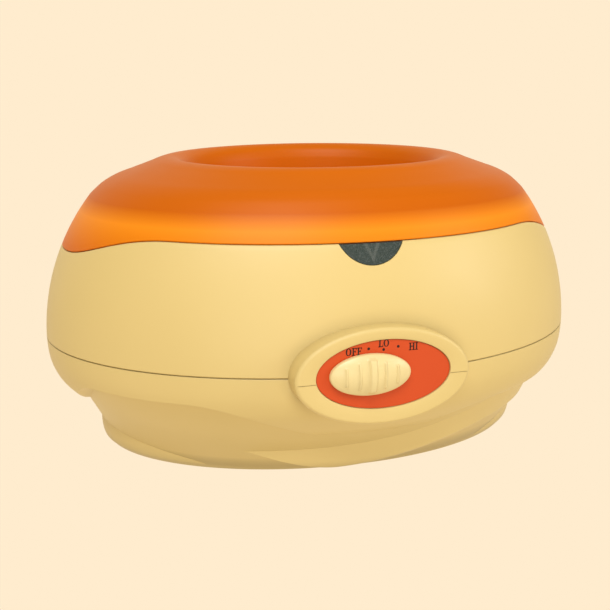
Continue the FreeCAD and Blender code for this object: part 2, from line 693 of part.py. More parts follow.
def control_knob():
    """Oval slider knob: a low dome with a tall rib in the middle and two fine ribs each side."""
    edge_y = PLATE_FACE_Y - 0.4
    skirt = front_oval(KNOB_HALF_X, KNOB_HALF_Z, edge_y - 2.2, edge_y, PLATE_Z)
    dome_radius = (KNOB_HALF_Z ** 2 + KNOB_HEIGHT ** 2) / (2 * KNOB_HEIGHT)
    dome = Part.makeSphere(dome_radius, Vector(0, 0, 0))
    stretch = FreeCAD.Matrix()
    stretch.A11 = KNOB_HALF_X / KNOB_HALF_Z
    dome = dome.transformGeometry(stretch)
    dome.translate(Vector(0, edge_y - 2.2 + dome_radius - KNOB_HEIGHT, PLATE_Z))
    dome = dome.common(box((-40, 40), (-200, edge_y - 1.0), (PLATE_Z - 20, PLATE_Z + 20)))
    body = skirt.fuse(dome.common(front_oval(KNOB_HALF_X, KNOB_HALF_Z, -200, -100, PLATE_Z)))
    ribs = []
    for x, half_height, proud in KNOB_RIBS:
        crown = edge_y - 2.2 - KNOB_HEIGHT * (1 - (x / KNOB_HALF_X) ** 2)
        half_width = 1.7 if x == 0 else 0.5
        ribs.append(rib(x, half_width, half_height, crown - proud, edge_y - 1.5))
    stem_z = (PLATE_Z - STEM_HALF_Z, PLATE_Z + STEM_HALF_Z)
    stem = box((-STEM_HALF_X, STEM_HALF_X), (edge_y - 1, WEB_BACK_Y + 0.5), stem_z)
    knob = body.fuse(fused_group(ribs)).fuse(stem)
    knob = knob.cut(rod(1.1, (0, -152.5, PLATE_Z), (0, -140, PLATE_Z)))
    knob.translate(Vector(SLIDER_REST_X, 0, 0))
    return knob


def rib(x, half_width, half_height, y_front, y_back):
    tall = (PLATE_Z - half_height, PLATE_Z + half_height)
    bar = box((x - half_width, x + half_width), (y_front, y_back), tall)
    arch_radius = (half_height ** 2 + 5.0 ** 2) / (2 * 5.0)
    centre_y = y_front + arch_radius
    arch = rod(arch_radius, (x - 5, centre_y, PLATE_Z), (x + 5, centre_y, PLATE_Z))
    return bar.common(arch)


def slide_carriage():
    """Plate that slides behind the panel, with the pin that turns the thermostat lever."""
    plate = box((-12, 12), (WEB_BACK_Y + 0.5, -142.4), (PLATE_Z - 7.0, PLATE_Z + 7.0))
    arm = box((-3.5, 3.5), (-143, -135.6), (PLATE_Z - 4.0, PLATE_Z + 3.0))
    pin_y = LEVER_AXIS_Y - LEVER_REACH
    pin = rod(PIN_RADIUS, (0, pin_y, LEVER_Z[0] - 3), (0, pin_y, PLATE_Z))
    carriage = fused_group([plate, arm, pin])
    carriage = carriage.cut(rod(1.3, (0, -150, PLATE_Z), (0, -130, PLATE_Z)))
    carriage = carriage.cut(rod(2.6, (0, -140, PLATE_Z), (0, -130, PLATE_Z)))
    carriage.translate(Vector(SLIDER_REST_X, 0, 0))
    return carriage


def knob_screw():
    return pan_screw((SLIDER_REST_X, -140, PLATE_Z), (0, -1, 0), 1.08, 12.0, 2.3, 1.6)


def slide_track():
    """Frame screwed behind the panel that guides the carriage."""
    outer = box((-33, 33), (WEB_BACK_Y + 0.05, -140.4), (PLATE_Z - 10.5, PLATE_Z + 10.5))
    corners = [e for e in outer.Edges if e.BoundBox.YLength > 3]
    outer = outer.makeFillet(4.0, corners)
    half = SLIDER_TRAVEL / 2 + 12 + SLIDE_CLEARANCE
    channel = box((-half, half), (WEB_BACK_Y - 1, -142.1), (PLATE_Z - 7.25, PLATE_Z + 7.25))
    window = box((-16, 16), (-143, -140), (PLATE_Z - 5.2, PLATE_Z + 5.2))
    holes = [rod(1.3, (x, -150, PLATE_Z), (x, -139, PLATE_Z)) for x in (-29, 29)]
    return outer.cut(channel).cut(window).cut(Part.makeCompound(holes))


def track_screws():
    screws = [pan_screw((x, -140.4, PLATE_Z), (0, -1, 0), 1.03, 9.5, 2.4, 1.5) for x in (-29, 29)]
    return Part.makeCompound(screws)


# ---- thermostat --------------------------------------------------------------------------------
def thermostat_bracket():
    half = 18.0
    floor = BASE_UNDERSIDE + WALL
    foot_plate = box((-half, half), (-92, -78), (floor, floor + 1.5))
    leg = box((-half, half), (-93.5, -92), (floor, SHELF_Z[1]))
    shelf = box((-half, half), (-128, -92), SHELF_Z)
    holes = [rod(1.7, (x, BRACKET_SCREW_Y, 0), (x, BRACKET_SCREW_Y, 10)) for x in BRACKET_SCREW_X]
    return fused_group([foot_plate, leg, shelf]).cut(Part.makeCompound(holes))


def bracket_screws():
    top = BASE_UNDERSIDE + WALL + 1.5
    screws = [pan_screw((x, BRACKET_SCREW_Y, top), (0, 0, -1), 1.5, 3.5, 2.8, 1.8) for x in BRACKET_SCREW_X]
    return Part.makeCompound(screws)


def thermostat_body():
    block = box((-15, 15), (-128, -106.5), (SHELF_Z[1], 62.0))
    corners = [e for e in block.Edges if e.BoundBox.ZLength > 10]
    block = block.makeFillet(3.0, corners)
    collar = rod(5.0, (0, LEVER_AXIS_Y, 61), (0, LEVER_AXIS_Y, 66))
    bore = rod(SHAFT_RADIUS + SHAFT_CLEARANCE, (0, LEVER_AXIS_Y, 54), (0, LEVER_AXIS_Y, 70))
    tabs = [box((x - 3, x + 3), (-107, -103), (54, 54.8)) for x in (-9, 9)]
    return fused_group([block, collar] + tabs).cut(bore)


def turned_to_rest(shape):
    """Swings a piece drawn at mid-travel back to where the lever is at OFF."""
    shape.rotate(Vector(0, LEVER_AXIS_Y, 0), Vector(0, 0, 1), -LEVER_SWING / 2)
    return shape


def thermostat_shaft():
    shaft = rod(SHAFT_RADIUS, (0, LEVER_AXIS_Y, 54.3), (0, LEVER_AXIS_Y, LEVER_Z[1] + 3))
    flat = box((-5, 5), (LEVER_AXIS_Y + 1.7, LEVER_AXIS_Y + 5), (LEVER_Z[0] - 1, LEVER_Z[1] + 5))
    return turned_to_rest(shaft.cut(flat))


def thermostat_lever():
    """Forked lever; the slider's pin runs in the fork."""
    tip_y = LEVER_AXIS_Y - LEVER_REACH
    hub = rod(5.5, (0, LEVER_AXIS_Y, LEVER_Z[0]), (0, LEVER_AXIS_Y, LEVER_Z[1]))
    arm = box((-4.5, 4.5), (tip_y - 1.4, LEVER_AXIS_Y), LEVER_Z)
    half = PIN_RADIUS + SLIDE_CLEARANCE
    fork = box((-half, half), (tip_y - 6, tip_y + 5.0), (LEVER_Z[0] - 1, LEVER_Z[1] + 1))
    bore = rod(SHAFT_RADIUS + 0.02, (0, LEVER_AXIS_Y, LEVER_Z[0] - 1), (0, LEVER_AXIS_Y, LEVER_Z[1] + 1))
    key = box((-5, 5), (LEVER_AXIS_Y + 1.72, LEVER_AXIS_Y + 4), LEVER_Z)
    lever = fused_group([hub, arm]).cut(fork).cut(bore.cut(key))
    return turned_to_rest(lever)


# ---- indicator lamps ---------------------------------------------------------------------------
def indicator_lens():
    skin = wall_ring(0.4, WALL, LENS_BOTTOM - 4, RIM_FRONT + 3)
    return skin.common(lens_blank(0)).common(below_rim(-0.3))


def lamp_holder():
    """Carrier for the two lamps, with a V-shaped rib that keeps their light apart."""
    back = box((-20, 20), (-116, -111.5), (133, 150))
    corners = [Vector(-4, 0, 150), Vector(4, 0, 150), Vector(1, 0, 140), Vector(-1, 0, 140)]
    divider = Part.Face(Part.makePolygon(corners + corners[:1])).extrude(Vector(0, 10, 0))
    divider.translate(Vector(0, -124.0, 0))
    bores = [rod(LAMP_RADIUS + 0.05, (x, -130, LAMP_Z), (x, -100, LAMP_Z)) for x in (-LAMP_X, LAMP_X)]
    return back.fuse(divider).cut(Part.makeCompound(bores))


def lamp(x):
    """Neon lamp in a clear tube with a domed front."""
    glass = rod(LAMP_RADIUS, (x, -122, LAMP_Z), (x, -112, LAMP_Z))
    return glass.fuse(Part.makeSphere(LAMP_RADIUS, Vector(x, -122, LAMP_Z)))


# ---- mains inlet and wiring --------------------------------------------------------------------
def power_inlet():
    """Two-pin appliance inlet, screwed to the boss at the back."""
    flange = box((-22, 22), (INLET_FACE_Y - 5.0, INLET_FACE_Y - 3.0), (INLET_Z - 11.5, INLET_Z + 11.5))
    nose = box((-12, 12), (INLET_FACE_Y - 5, INLET_FACE_Y - 0.6), (INLET_Z - 8, INLET_Z + 8))
    cup = box((-12, 12), (INLET_FACE_Y - 20, INLET_FACE_Y - 4), (INLET_Z - 8, INLET_Z + 8))
    body = fused_group([flange, nose, cup])
    middle = box((-4.2, 4.2), (INLET_FACE_Y - 16, INLET_FACE_Y + 1), (INLET_Z - 4.2, INLET_Z + 4.2))
    lobes = [rod(4.2, (x, INLET_FACE_Y - 16, INLET_Z), (x, INLET_FACE_Y + 1, INLET_Z)) for x in (-4.2, 4.2)]
    pins = [rod(INLET_PIN_RADIUS + 0.02, (x, INLET_FACE_Y - 22, INLET_Z), (x, INLET_FACE_Y, INLET_Z))
            for x in (-INLET_PIN_X, INLET_PIN_X)]
    holes = [rod(1.6, (x, INLET_FACE_Y - 6, INLET_Z), (x, INLET_FACE_Y, INLET_Z)) for x in (-18, 18)]
    return body.cut(fused_group([middle] + lobes)).cut(Part.makeCompound(pins + holes))


def inlet_pins():
    back, front = INLET_FACE_Y - 26, INLET_FACE_Y - 3
    pins = [rod(INLET_PIN_RADIUS, (x, back, INLET_Z), (x, front, INLET_Z)) for x in (-INLET_PIN_X, INLET_PIN_X)]
    return Part.makeCompound(pins)


def inlet_screws():
    screws = [pan_screw((x, INLET_FACE_Y, INLET_Z), (0, -1, 0), 1.5, 8.0, 2.9, 1.6) for x in (-18, 18)]
    return Part.makeCompound(screws)


def terminal_block():
    low = BASE_UNDERSIDE + WALL
    block = box((-18, 18), (64, 80), (low, low + 13))
    wells = [rod(2.6, (x, 72, low + 5), (x, 72, low + 14)) for x in (-11, 0, 11)]
    entries = [rod(1.6, (x, 60, low + 5), (x, 84, low + 5)) for x in (-11, 0, 11)]
    return block.cut(Part.makeCompound(wells)).cut(Part.makeCompound(entries))


def terminal_screws():
    low = BASE_UNDERSIDE + WALL
    return Part.makeCompound([rod(2.2, (x, 72, low + 7), (x, 72, low + 11.5)) for x in (-11, 0, 11)])


def mains_wires():
    low = BASE_UNDERSIDE + WALL + 5
    wires = []
    for x, end in ((-INLET_PIN_X, -11), (INLET_PIN_X, 11)):
        pin_end = (x, INLET_FACE_Y - 26, INLET_Z)
        route = [pin_end, (x, 112, INLET_Z), (end, 98, 30), (end, 94, low), (end, 78, low)]
        wires.append(bent_wire(route, 1.2, 5.0))
    return Part.makeCompound(wires)


def heater_wires():
    low = BASE_UNDERSIDE + WALL + 5
    top = heater_top() - HEATER_THICKNESS
    wires = []
    for side in (-1, 1):
        route = [(11 * side, 66, low), (11 * side, 50, low), (116 * side, 40, low), (122 * side, 30, 24),
                 (122 * side, 20, 31), (80 * side, 20, 31), (80 * side, 20, top)]
        wires.append(bent_wire(route, 1.2, 4.0))
    return Part.makeCompound(wires)


def control_wires():
    wires = []
    for side in (-1, 1):
        wires.append(bent_wire([(9 * side, -103, 54.4), (9 * side, -98.5, 54.4), (24 * side, -98.5, 54.4),
                                (32 * side, -98.5, 44), (32 * side, -86, 12), (32 * side, -60, 9)], 0.9, 3.0))
    return Part.makeCompound(wires)


def lamp_wires():
    """From the back of each lamp down behind the case front to the thermostat's tabs."""
    wires = []
    for side in (-1, 1):
        x = side * LAMP_X
        wires.append(bent_wire([(x, -112, LAMP_Z), (x, -109.4, LAMP_Z), (x, -109.4, 126), (x, -104.8, 116),
                                (x, -104.8, 54.8)], 0.8, 1.8))
    return Part.makeCompound(wires)


# ---- write every node --------------------------------------------------------------------------
NODES = {
    "lower_housing": lower_housing,
    "upper_housing": upper_housing,
    "rubber_feet": rubber_feet,
    "case_screws": case_screws,
    "tank": tank,
    "tank_gasket": tank_gasket,
    "flange_studs": flange_studs,
    "flange_nuts": flange_nuts,
    "insulation_band": insulation_band,
    "heater_plate": heater_plate,
    "heater_clamp_plate": heater_clamp_plate,
    "heater_studs": heater_studs,
    "heater_nuts": heater_nuts,
    "shield_spacers": shield_spacers,
    "heat_shield": heat_shield,
    "shield_nuts": shield_nuts,
    "thermal_fuse": thermal_fuse,
    "fuse_clip": fuse_clip,
    "hand_guard_grille": hand_guard_grille,
    "lid": lid,
    "control_plate": control_plate,
    "control_knob": control_knob,
    "slide_carriage": slide_carriage,
    "knob_screw": knob_screw,
    "slide_track": slide_track,
    "track_screws": track_screws,
    "thermostat_bracket": thermostat_bracket,
    "bracket_screws": bracket_screws,
    "thermostat_body": thermostat_body,
    "thermostat_shaft": thermostat_shaft,
    "thermostat_lever": thermostat_lever,
    "indicator_lens": indicator_lens,
    "lamp_holder": lamp_holder,
    "power_lamp": lambda: lamp(-LAMP_X),
    "ready_lamp": lambda: lamp(LAMP_X),
    "power_inlet": power_inlet,
    "inlet_pins": inlet_pins,
    "inlet_screws": inlet_screws,
    "terminal_block": terminal_block,
    "terminal_screws": terminal_screws,
    "mains_wires": mains_wires,
    "heater_wires": heater_wires,
    "control_wires": control_wires,
    "lamp_wires": lamp_wires,
}


def main():
    os.makedirs("parts", exist_ok=True)
    for name, make in NODES.items():
        shape = make()
        shape.exportStep(f"parts/{name}.step")
        limits = shape.BoundBox
        print(f"{name:20s} solids {len(shape.Solids)} valid {shape.isValid()} volume {shape.Volume:.0f}"
              f" x {limits.XMin:.1f} {limits.XMax:.1f} y {limits.YMin:.1f} {limits.YMax:.1f}"
              f" z {limits.ZMin:.1f} {limits.ZMax:.1f}")


main()
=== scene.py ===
"""Looks of the paraffin wax bath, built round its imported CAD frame. Metres; +Z up, -Y is the front."""

import math

import bmesh
import bpy
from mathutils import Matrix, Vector


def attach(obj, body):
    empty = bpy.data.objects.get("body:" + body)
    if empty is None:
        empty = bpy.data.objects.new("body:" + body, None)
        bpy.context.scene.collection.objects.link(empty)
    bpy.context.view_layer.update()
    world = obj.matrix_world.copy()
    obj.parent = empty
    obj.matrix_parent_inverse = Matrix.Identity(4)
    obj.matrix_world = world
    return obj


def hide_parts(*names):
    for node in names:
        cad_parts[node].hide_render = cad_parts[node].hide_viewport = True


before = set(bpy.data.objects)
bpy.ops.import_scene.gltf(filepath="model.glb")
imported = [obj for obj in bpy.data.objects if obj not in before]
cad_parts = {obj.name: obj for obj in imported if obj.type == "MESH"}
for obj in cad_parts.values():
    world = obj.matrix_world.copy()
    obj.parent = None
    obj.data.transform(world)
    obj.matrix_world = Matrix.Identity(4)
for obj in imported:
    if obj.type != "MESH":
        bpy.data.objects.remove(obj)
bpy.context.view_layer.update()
MM = 0.001

# ---- shape of the case, in millimetres: the same driving dimensions as the CAD model ----------
SEAM = 75.4
SEAM_GAP = 0.7
CASE_HALF_X = 186.6
CASE_RATIO = 0.765
SIDE_RADIUS = 152.0
BASE_UNDERSIDE = 1.2
RIM_FRONT = 153.0
RIM_ENDS = 137.0
RIM_DIP_HALF = 90.0
LID_GAP = 0.5
WALL = 2.8
LID_WALL = 2.4
SHOULDER_START_Z = 170.0
SHOULDER_END = (127.0, 185.4)
LIP_TOP = (100.0, 194.0)
WELL_RATIO = 0.85
SHOULDER_HALF, WELL_HALF = 153.0, 97.0       # half-lengths between which the ovals grow rounder
WELL_WALL_TOP = (86.8, 184.5)
WELL_WALL_FOOT = (84.2, 164.5)
WELL_FLOOR_EDGE = (76.0, 156.0)
GRIP_TOP = 172.0
DECK_TOP = 131.0
DECK_THICKNESS = 2.5
DECK_HOLE = (139.2, 92.8)
BEZEL_CENTRE_Z = 76.8
BEZEL_HALF = (55.2, 30.0)
BEZEL_FACE_Y = -152.0
BEZEL_BACK_Y = -131.0
BEZEL_EDGE_ROUND = 2.4
WEB_FRONT_Y, WEB_BACK_Y = -149.2, -146.2     # the wall behind the plate
WEB_WINDOW_HALF = (30.0, 8.0)
PLATE_CENTRE_Z = 78.2
PLATE_HALF = (42.2, 21.0)
PLATE_FACE_Y = -151.0
KNOB_REST_X = -10.0
KNOB_HALF = (25.3, 12.7)
KNOB_HEIGHT = 5.0
LENS_RADIUS = 22.2
LENS_CENTRE_Z = 162.6
LENS_GAP = 0.4
KNOB_OFFSET = (0.8, 0.9)     # how far the seen knob sits right of and above the CAD one
AROUND = 240                 # segments round the case

# ---- camera and light, in metres and watts ----------------------------------------------------
CAMERA_PLACE = (-0.2181, -0.7245, 0.2695)
CAMERA_TARGET = (0.0, 0.0, 0.0925)
FOCAL_LENGTH = 63.5          # millimetres, on a 36 mm sensor
LENS_SHIFT = (-0.0098, -0.0164)
PEACH = (1.0, 0.838, 0.617)
WORLD_STRENGTH = 0.35
# name, place, aim, diameter, power
LIGHTS = (
    ("key", (-0.5, -1.3, 1.9), (0, 0, 0.10), 1.4, 37.5),
    ("low fill", (-0.5, -1.6, 0.12), (0, 0, 0.05), 0.9, 6.5),
    ("side", (1.7, -1.2, 0.8), (0, 0, 0.08), 1.0, 14.0),
)


# ---- camera, light and stage ------------------------------------------------------------------
def make_camera():
    data = bpy.data.cameras.new("camera")
    data.lens = FOCAL_LENGTH
    data.sensor_width = 36.0
    data.shift_x, data.shift_y = LENS_SHIFT
    camera = bpy.data.objects.new("camera", data)
    bpy.context.scene.collection.objects.link(camera)
    camera.location = CAMERA_PLACE
    towards = Vector(CAMERA_TARGET) - Vector(CAMERA_PLACE)
    camera.rotation_euler = towards.to_track_quat("-Z", "Y").to_euler()
    bpy.context.scene.camera = camera


def area_light(name, place, aim, size, power):
    data = bpy.data.lights.new(name, "AREA")
    data.shape = "DISK"
    data.size = size
    data.energy = power
    light = bpy.data.objects.new(name, data)
    bpy.context.scene.collection.objects.link(light)
    light.location = place
    light.rotation_euler = (Vector(aim) - Vector(place)).to_track_quat("-Z", "Y").to_euler()


def backdrop_material():
    """Evenly lit paper: it glows with the backdrop's own colour, so that no shadow falls on it."""
    material = bpy.data.materials.new("backdrop")
    material.use_nodes = True
    shader = material.node_tree.nodes["Principled BSDF"]
    shader.inputs["Base Color"].default_value = (0.0, 0.0, 0.0, 1.0)
    shader.inputs["Specular IOR Level"].default_value = 0.0
    shader.inputs["Emission Color"].default_value = (*PEACH, 1.0)
    shader.inputs["Emission Strength"].default_value = 1.0
    return material


def make_stage():
    """Pale floor that curves up into a backdrop, under soft studio light."""
    mesh = bpy.data.meshes.new("floor")
    half, back, rise, radius, steps = 6.0, 4.0, 6.0, 1.5, 16
    line = [(-8.0, 0.0), (back - radius, 0.0)]
    for i in range(1, steps + 1):
        angle = math.pi / 2 * i / steps
        line.append((back - radius + radius * math.sin(angle), radius * (1 - math.cos(angle))))
    line.append((back, rise))
    verts = [(x, y, z) for x in (-half, half) for y, z in line]
    count = len(line)
    faces = [(i, i + 1, count + i + 1, count + i) for i in range(count - 1)]
    mesh.from_pydata(verts, [], faces)
    floor = bpy.data.objects.new("floor", mesh)
    bpy.context.scene.collection.objects.link(floor)
    for polygon in mesh.polygons:
        polygon.use_smooth = True
    mesh.materials.append(backdrop_material())
    world = bpy.data.worlds.new("studio")
    world.use_nodes = True
    world.node_tree.nodes["Background"].inputs["Color"].default_value = (*PEACH, 1.0)
    world.node_tree.nodes["Background"].inputs["Strength"].default_value = WORLD_STRENGTH
    bpy.context.scene.world = world
    for light in LIGHTS:
        area_light(*light)
    bpy.context.scene.view_settings.view_transform = "Standard"


# ---- materials --------------------------------------------------------------------------------
def new_material(name, colour, roughness):
    material = bpy.data.materials.new(name)
    material.use_nodes = True
    shader = material.node_tree.nodes["Principled BSDF"]
    shader.inputs["Base Color"].default_value = (*colour, 1.0)
    shader.inputs["Roughness"].default_value = roughness
    return material, shader


def add_noise(material, scale, detail=3.0):
    nodes, links = material.node_tree.nodes, material.node_tree.links
    place = nodes.new("ShaderNodeTexCoord")
    noise = nodes.new("ShaderNodeTexNoise")
    noise.inputs["Scale"].default_value = scale
    noise.inputs["Detail"].default_value = detail
    links.new(place.outputs["Object"], noise.inputs["Vector"])
    return noise


def vary_colour(material, shader, colour, other, scale, low=0.35, high=0.65):
    """Two close colours blended by a noise."""
    nodes, links = material.node_tree.nodes, material.node_tree.links
    noise = add_noise(material, scale)
    ramp = nodes.new("ShaderNodeValToRGB")
    ramp.color_ramp.elements[0].position = low
    ramp.color_ramp.elements[0].color = (*colour, 1.0)
    ramp.color_ramp.elements[1].position = high
    ramp.color_ramp.elements[1].color = (*other, 1.0)
    links.new(noise.outputs["Fac"], ramp.inputs["Fac"])
    links.new(ramp.outputs["Color"], shader.inputs["Base Color"])


def add_bump(material, shader, height_socket, distance, strength=0.5):
    nodes, links = material.node_tree.nodes, material.node_tree.links
    bump = nodes.new("ShaderNodeBump")
    bump.inputs["Distance"].default_value = distance
    bump.inputs["Strength"].default_value = strength
    links.new(height_socket, bump.inputs["Height"])
    links.new(bump.outputs["Normal"], shader.inputs["Normal"])


def vary_roughness(material, shader, low, high, scale):
    nodes, links = material.node_tree.nodes, material.node_tree.links
    noise = add_noise(material, scale)
    span = nodes.new("ShaderNodeMapRange")
    span.inputs["To Min"].default_value = low
    span.inputs["To Max"].default_value = high
    links.new(noise.outputs["Fac"], span.inputs["Value"])
    links.new(span.outputs["Result"], shader.inputs["Roughness"])


def paint_crease_shade(material, shader, reach, shade):
    """Painted shade: multiplies the colour down where nearby surfaces close in and keep light out."""
    nodes, links = material.node_tree.nodes, material.node_tree.links
    colour = shader.inputs["Base Color"].links[0].from_socket
    # painted shade: ambient occlusion scales the base colour down in creases
    closeness = nodes.new("ShaderNodeAmbientOcclusion")
    closeness.inputs["Distance"].default_value = reach
    span = nodes.new("ShaderNodeMapRange")
    span.inputs["From Min"].default_value = 0.35
    span.inputs["From Max"].default_value = 0.95
    span.inputs["To Min"].default_value = shade
    span.inputs["To Max"].default_value = 1.0
    links.new(closeness.outputs["AO"], span.inputs["Value"])
    product = nodes.new("ShaderNodeVectorMath")
    product.operation = "SCALE"
    links.new(colour, product.inputs[0])
    links.new(span.outputs["Result"], product.inputs["Scale"])
    links.new(product.outputs["Vector"], shader.inputs["Base Color"])


def moulded_plastic(name, colour, other, roughness, grain, grain_depth, spread=0.0):
    """Injection-moulded plastic: slight colour drift, fine spark-eroded grain, uneven sheen."""
    material, shader = new_material(name, colour, roughness)
    vary_colour(material, shader, colour, other, 9.0)
    vary_roughness(material, shader, roughness - 0.05, roughness + 0.05, 35.0)
    add_bump(material, shader, add_noise(material, grain, 2.0).outputs["Fac"], grain_depth)
    if spread:
        shader.inputs["Subsurface Weight"].default_value = spread
        shader.inputs["Subsurface Radius"].default_value = (0.012, 0.006, 0.002)
        shader.inputs["Subsurface Scale"].default_value = 1.0
    return material


def metal(name, colour, roughness, scale):
    material, shader = new_material(name, colour, roughness)
    shader.inputs["Metallic"].default_value = 1.0
    vary_roughness(material, shader, roughness - 0.06, roughness + 0.08, scale)
    add_bump(material, shader, add_noise(material, scale * 8, 3.0).outputs["Fac"], 0.00005)
    return material


# the V on the lens, in metres: half-width gained per height, height of its foot, thickness of its lines
DIVIDER_SPREAD = 0.45
DIVIDER_FOOT = 0.144
DIVIDER_LINE = 0.0016


def lens_material():
    """Smoked, pebbled plastic with a paler V where the divider between the lamps shows through."""
    material, shader = new_material("smoked_lens", (0.06, 0.075, 0.07), 0.3)
    nodes, links = material.node_tree.nodes, material.node_tree.links
    place = nodes.new("ShaderNodeTexCoord")
    cells = nodes.new("ShaderNodeTexVoronoi")
    cells.inputs["Scale"].default_value = 900.0
    links.new(place.outputs["Object"], cells.inputs["Vector"])
    add_bump(material, shader, cells.outputs["Distance"], 0.0006, 0.9)
    split = nodes.new("ShaderNodeSeparateXYZ")
    links.new(place.outputs["Object"], split.inputs["Vector"])
    across = nodes.new("ShaderNodeMath")
    across.operation = "ABSOLUTE"
    links.new(split.outputs["X"], across.inputs[0])
    spread = nodes.new("ShaderNodeMath")
    spread.operation = "MULTIPLY_ADD"
    spread.inputs[1].default_value = -DIVIDER_SPREAD
    spread.inputs[2].default_value = DIVIDER_SPREAD * DIVIDER_FOOT
    links.new(split.outputs["Z"], spread.inputs[0])
    from_line = nodes.new("ShaderNodeMath")
    from_line.operation = "ADD"
    links.new(across.outputs["Value"], from_line.inputs[0])
    links.new(spread.outputs["Value"], from_line.inputs[1])
    distance = nodes.new("ShaderNodeMath")
    distance.operation = "ABSOLUTE"
    links.new(from_line.outputs["Value"], distance.inputs[0])
    span = nodes.new("ShaderNodeMapRange")
    span.inputs["From Max"].default_value = DIVIDER_LINE
    links.new(distance.outputs["Value"], span.inputs["Value"])
    speckle = nodes.new("ShaderNodeMath")
    speckle.operation = "MULTIPLY"
    links.new(span.outputs["Result"], speckle.inputs[0])
    links.new(add_noise(material, 700.0).outputs["Fac"], speckle.inputs[1])
    ramp = nodes.new("ShaderNodeValToRGB")
    ramp.color_ramp.elements[0].position = 0.12
    ramp.color_ramp.elements[0].color = (0.085, 0.10, 0.09, 1.0)
    ramp.color_ramp.elements[1].position = 0.55
    ramp.color_ramp.elements[1].color = (0.035, 0.05, 0.044, 1.0)
    links.new(speckle.outputs["Value"], ramp.inputs["Fac"])
    links.new(ramp.outputs["Color"], shader.inputs["Base Color"])
    shader.inputs["Specular IOR Level"].default_value = 0.15
    return material


def lid_material():
    """Orange plastic with a painted sheen, paler in a band above the rim and darker over the crown, and a
    faint painted glow for the light it lets through.
    """
    material, shader = new_material("orange_lid", (0.66, 0.155, 0.001), 0.42)
    nodes, links = material.node_tree.nodes, material.node_tree.links
    place = nodes.new("ShaderNodeTexCoord")
    split = nodes.new("ShaderNodeSeparateXYZ")
    links.new(place.outputs["Object"], split.inputs["Vector"])
    span = nodes.new("ShaderNodeMapRange")
    span.inputs["From Min"].default_value = 0.140
    span.inputs["From Max"].default_value = 0.200
    links.new(split.outputs["Z"], span.inputs["Value"])
    ramp = nodes.new("ShaderNodeValToRGB")
    # painted sheen: colour paler in a band above the rim, darker over the crown
    stops = [(0.0, (0.54, 0.12, 0.0)), (0.24, (0.68, 0.20, 0.004)), (0.34, (0.74, 0.24, 0.008)),
             (0.50, (0.47, 0.10, 0.0003)), (1.0, (0.50, 0.115, 0.0003))]
    for position, _ in stops[1:-1]:
        ramp.color_ramp.elements.new(position)
    for element, (position, colour) in zip(ramp.color_ramp.elements, stops):
        element.position = position
        element.color = (*colour, 1.0)
    links.new(span.outputs["Result"], ramp.inputs["Fac"])
    links.new(ramp.outputs["Color"], shader.inputs["Base Color"])
    shader.inputs["Specular IOR Level"].default_value = 0.14
    vary_roughness(material, shader, 0.38, 0.46, 35.0)
    add_bump(material, shader, add_noise(material, 1200.0, 2.0).outputs["Fac"], 0.00003)
    # painted glow: emission standing in for light passing through the orange plastic
    shader.inputs["Emission Color"].default_value = (1.0, 0.17, 0.0, 1.0)
    shader.inputs["Emission Strength"].default_value = 0.10
    return material


CREAM = moulded_plastic("cream_case", (0.68, 0.52, 0.205), (0.66, 0.505, 0.195), 0.46, 1500.0, 0.00006)
# painted shade darkens the cream case in its creases and under the wave steps
paint_crease_shade(CREAM, CREAM.node_tree.nodes["Principled BSDF"], 0.012, 0.72)
KNOB_CREAM = moulded_plastic("cream_knob", (0.74, 0.61, 0.30), (0.72, 0.59, 0.285), 0.36, 1500.0, 0.00002)
LID_ORANGE = lid_material()
PLATE_ORANGE = moulded_plastic("orange_plate", (0.60, 0.060, 0.0), (0.57, 0.056, 0.0), 0.6, 2200.0, 0.00008)
INK = moulded_plastic("dial_ink", (0.012, 0.003, 0.001), (0.016, 0.004, 0.001), 0.8, 1500.0, 0.00002)
BLACK = moulded_plastic("black_plastic", (0.02, 0.02, 0.02), (0.028, 0.028, 0.028), 0.45, 1200.0, 0.00006)
RUBBER = moulded_plastic("foot_rubber", (0.03, 0.03, 0.03), (0.04, 0.04, 0.04), 0.8, 900.0, 0.0001)
WHITE = moulded_plastic("natural_plastic", (0.72, 0.70, 0.62), (0.68, 0.66, 0.58), 0.45, 1200.0, 0.00005)
SILICONE = moulded_plastic("grey_silicone", (0.45, 0.43, 0.40), (0.42, 0.40, 0.37), 0.7, 700.0, 0.0001)
GLASS_WOOL = moulded_plastic("glass_sleeve", (0.70, 0.66, 0.52), (0.62, 0.58, 0.45), 0.9, 500.0, 0.0004)
MICA = moulded_plastic("mica_heater", (0.30, 0.24, 0.16), (0.24, 0.19, 0.12), 0.5, 300.0, 0.0002)
RED_WIRE = moulded_plastic("red_wire", (0.45, 0.02, 0.015), (0.40, 0.02, 0.012), 0.5, 900.0, 0.00005)
BLUE_WIRE = moulded_plastic("blue_wire", (0.02, 0.07, 0.35), (0.02, 0.06, 0.30), 0.5, 900.0, 0.00005)
ALUMINIUM = metal("drawn_aluminium", (0.78, 0.79, 0.80), 0.32, 40.0)
STEEL = metal("zinc_steel", (0.62, 0.62, 0.63), 0.34, 60.0)
BRASS = metal("plain_brass", (0.80, 0.60, 0.28), 0.3, 60.0)
LENS = lens_material()
LAMP = moulded_plastic("neon_lamp", (0.75, 0.42, 0.30), (0.70, 0.38, 0.26), 0.15, 300.0, 0.00002, 0.3)

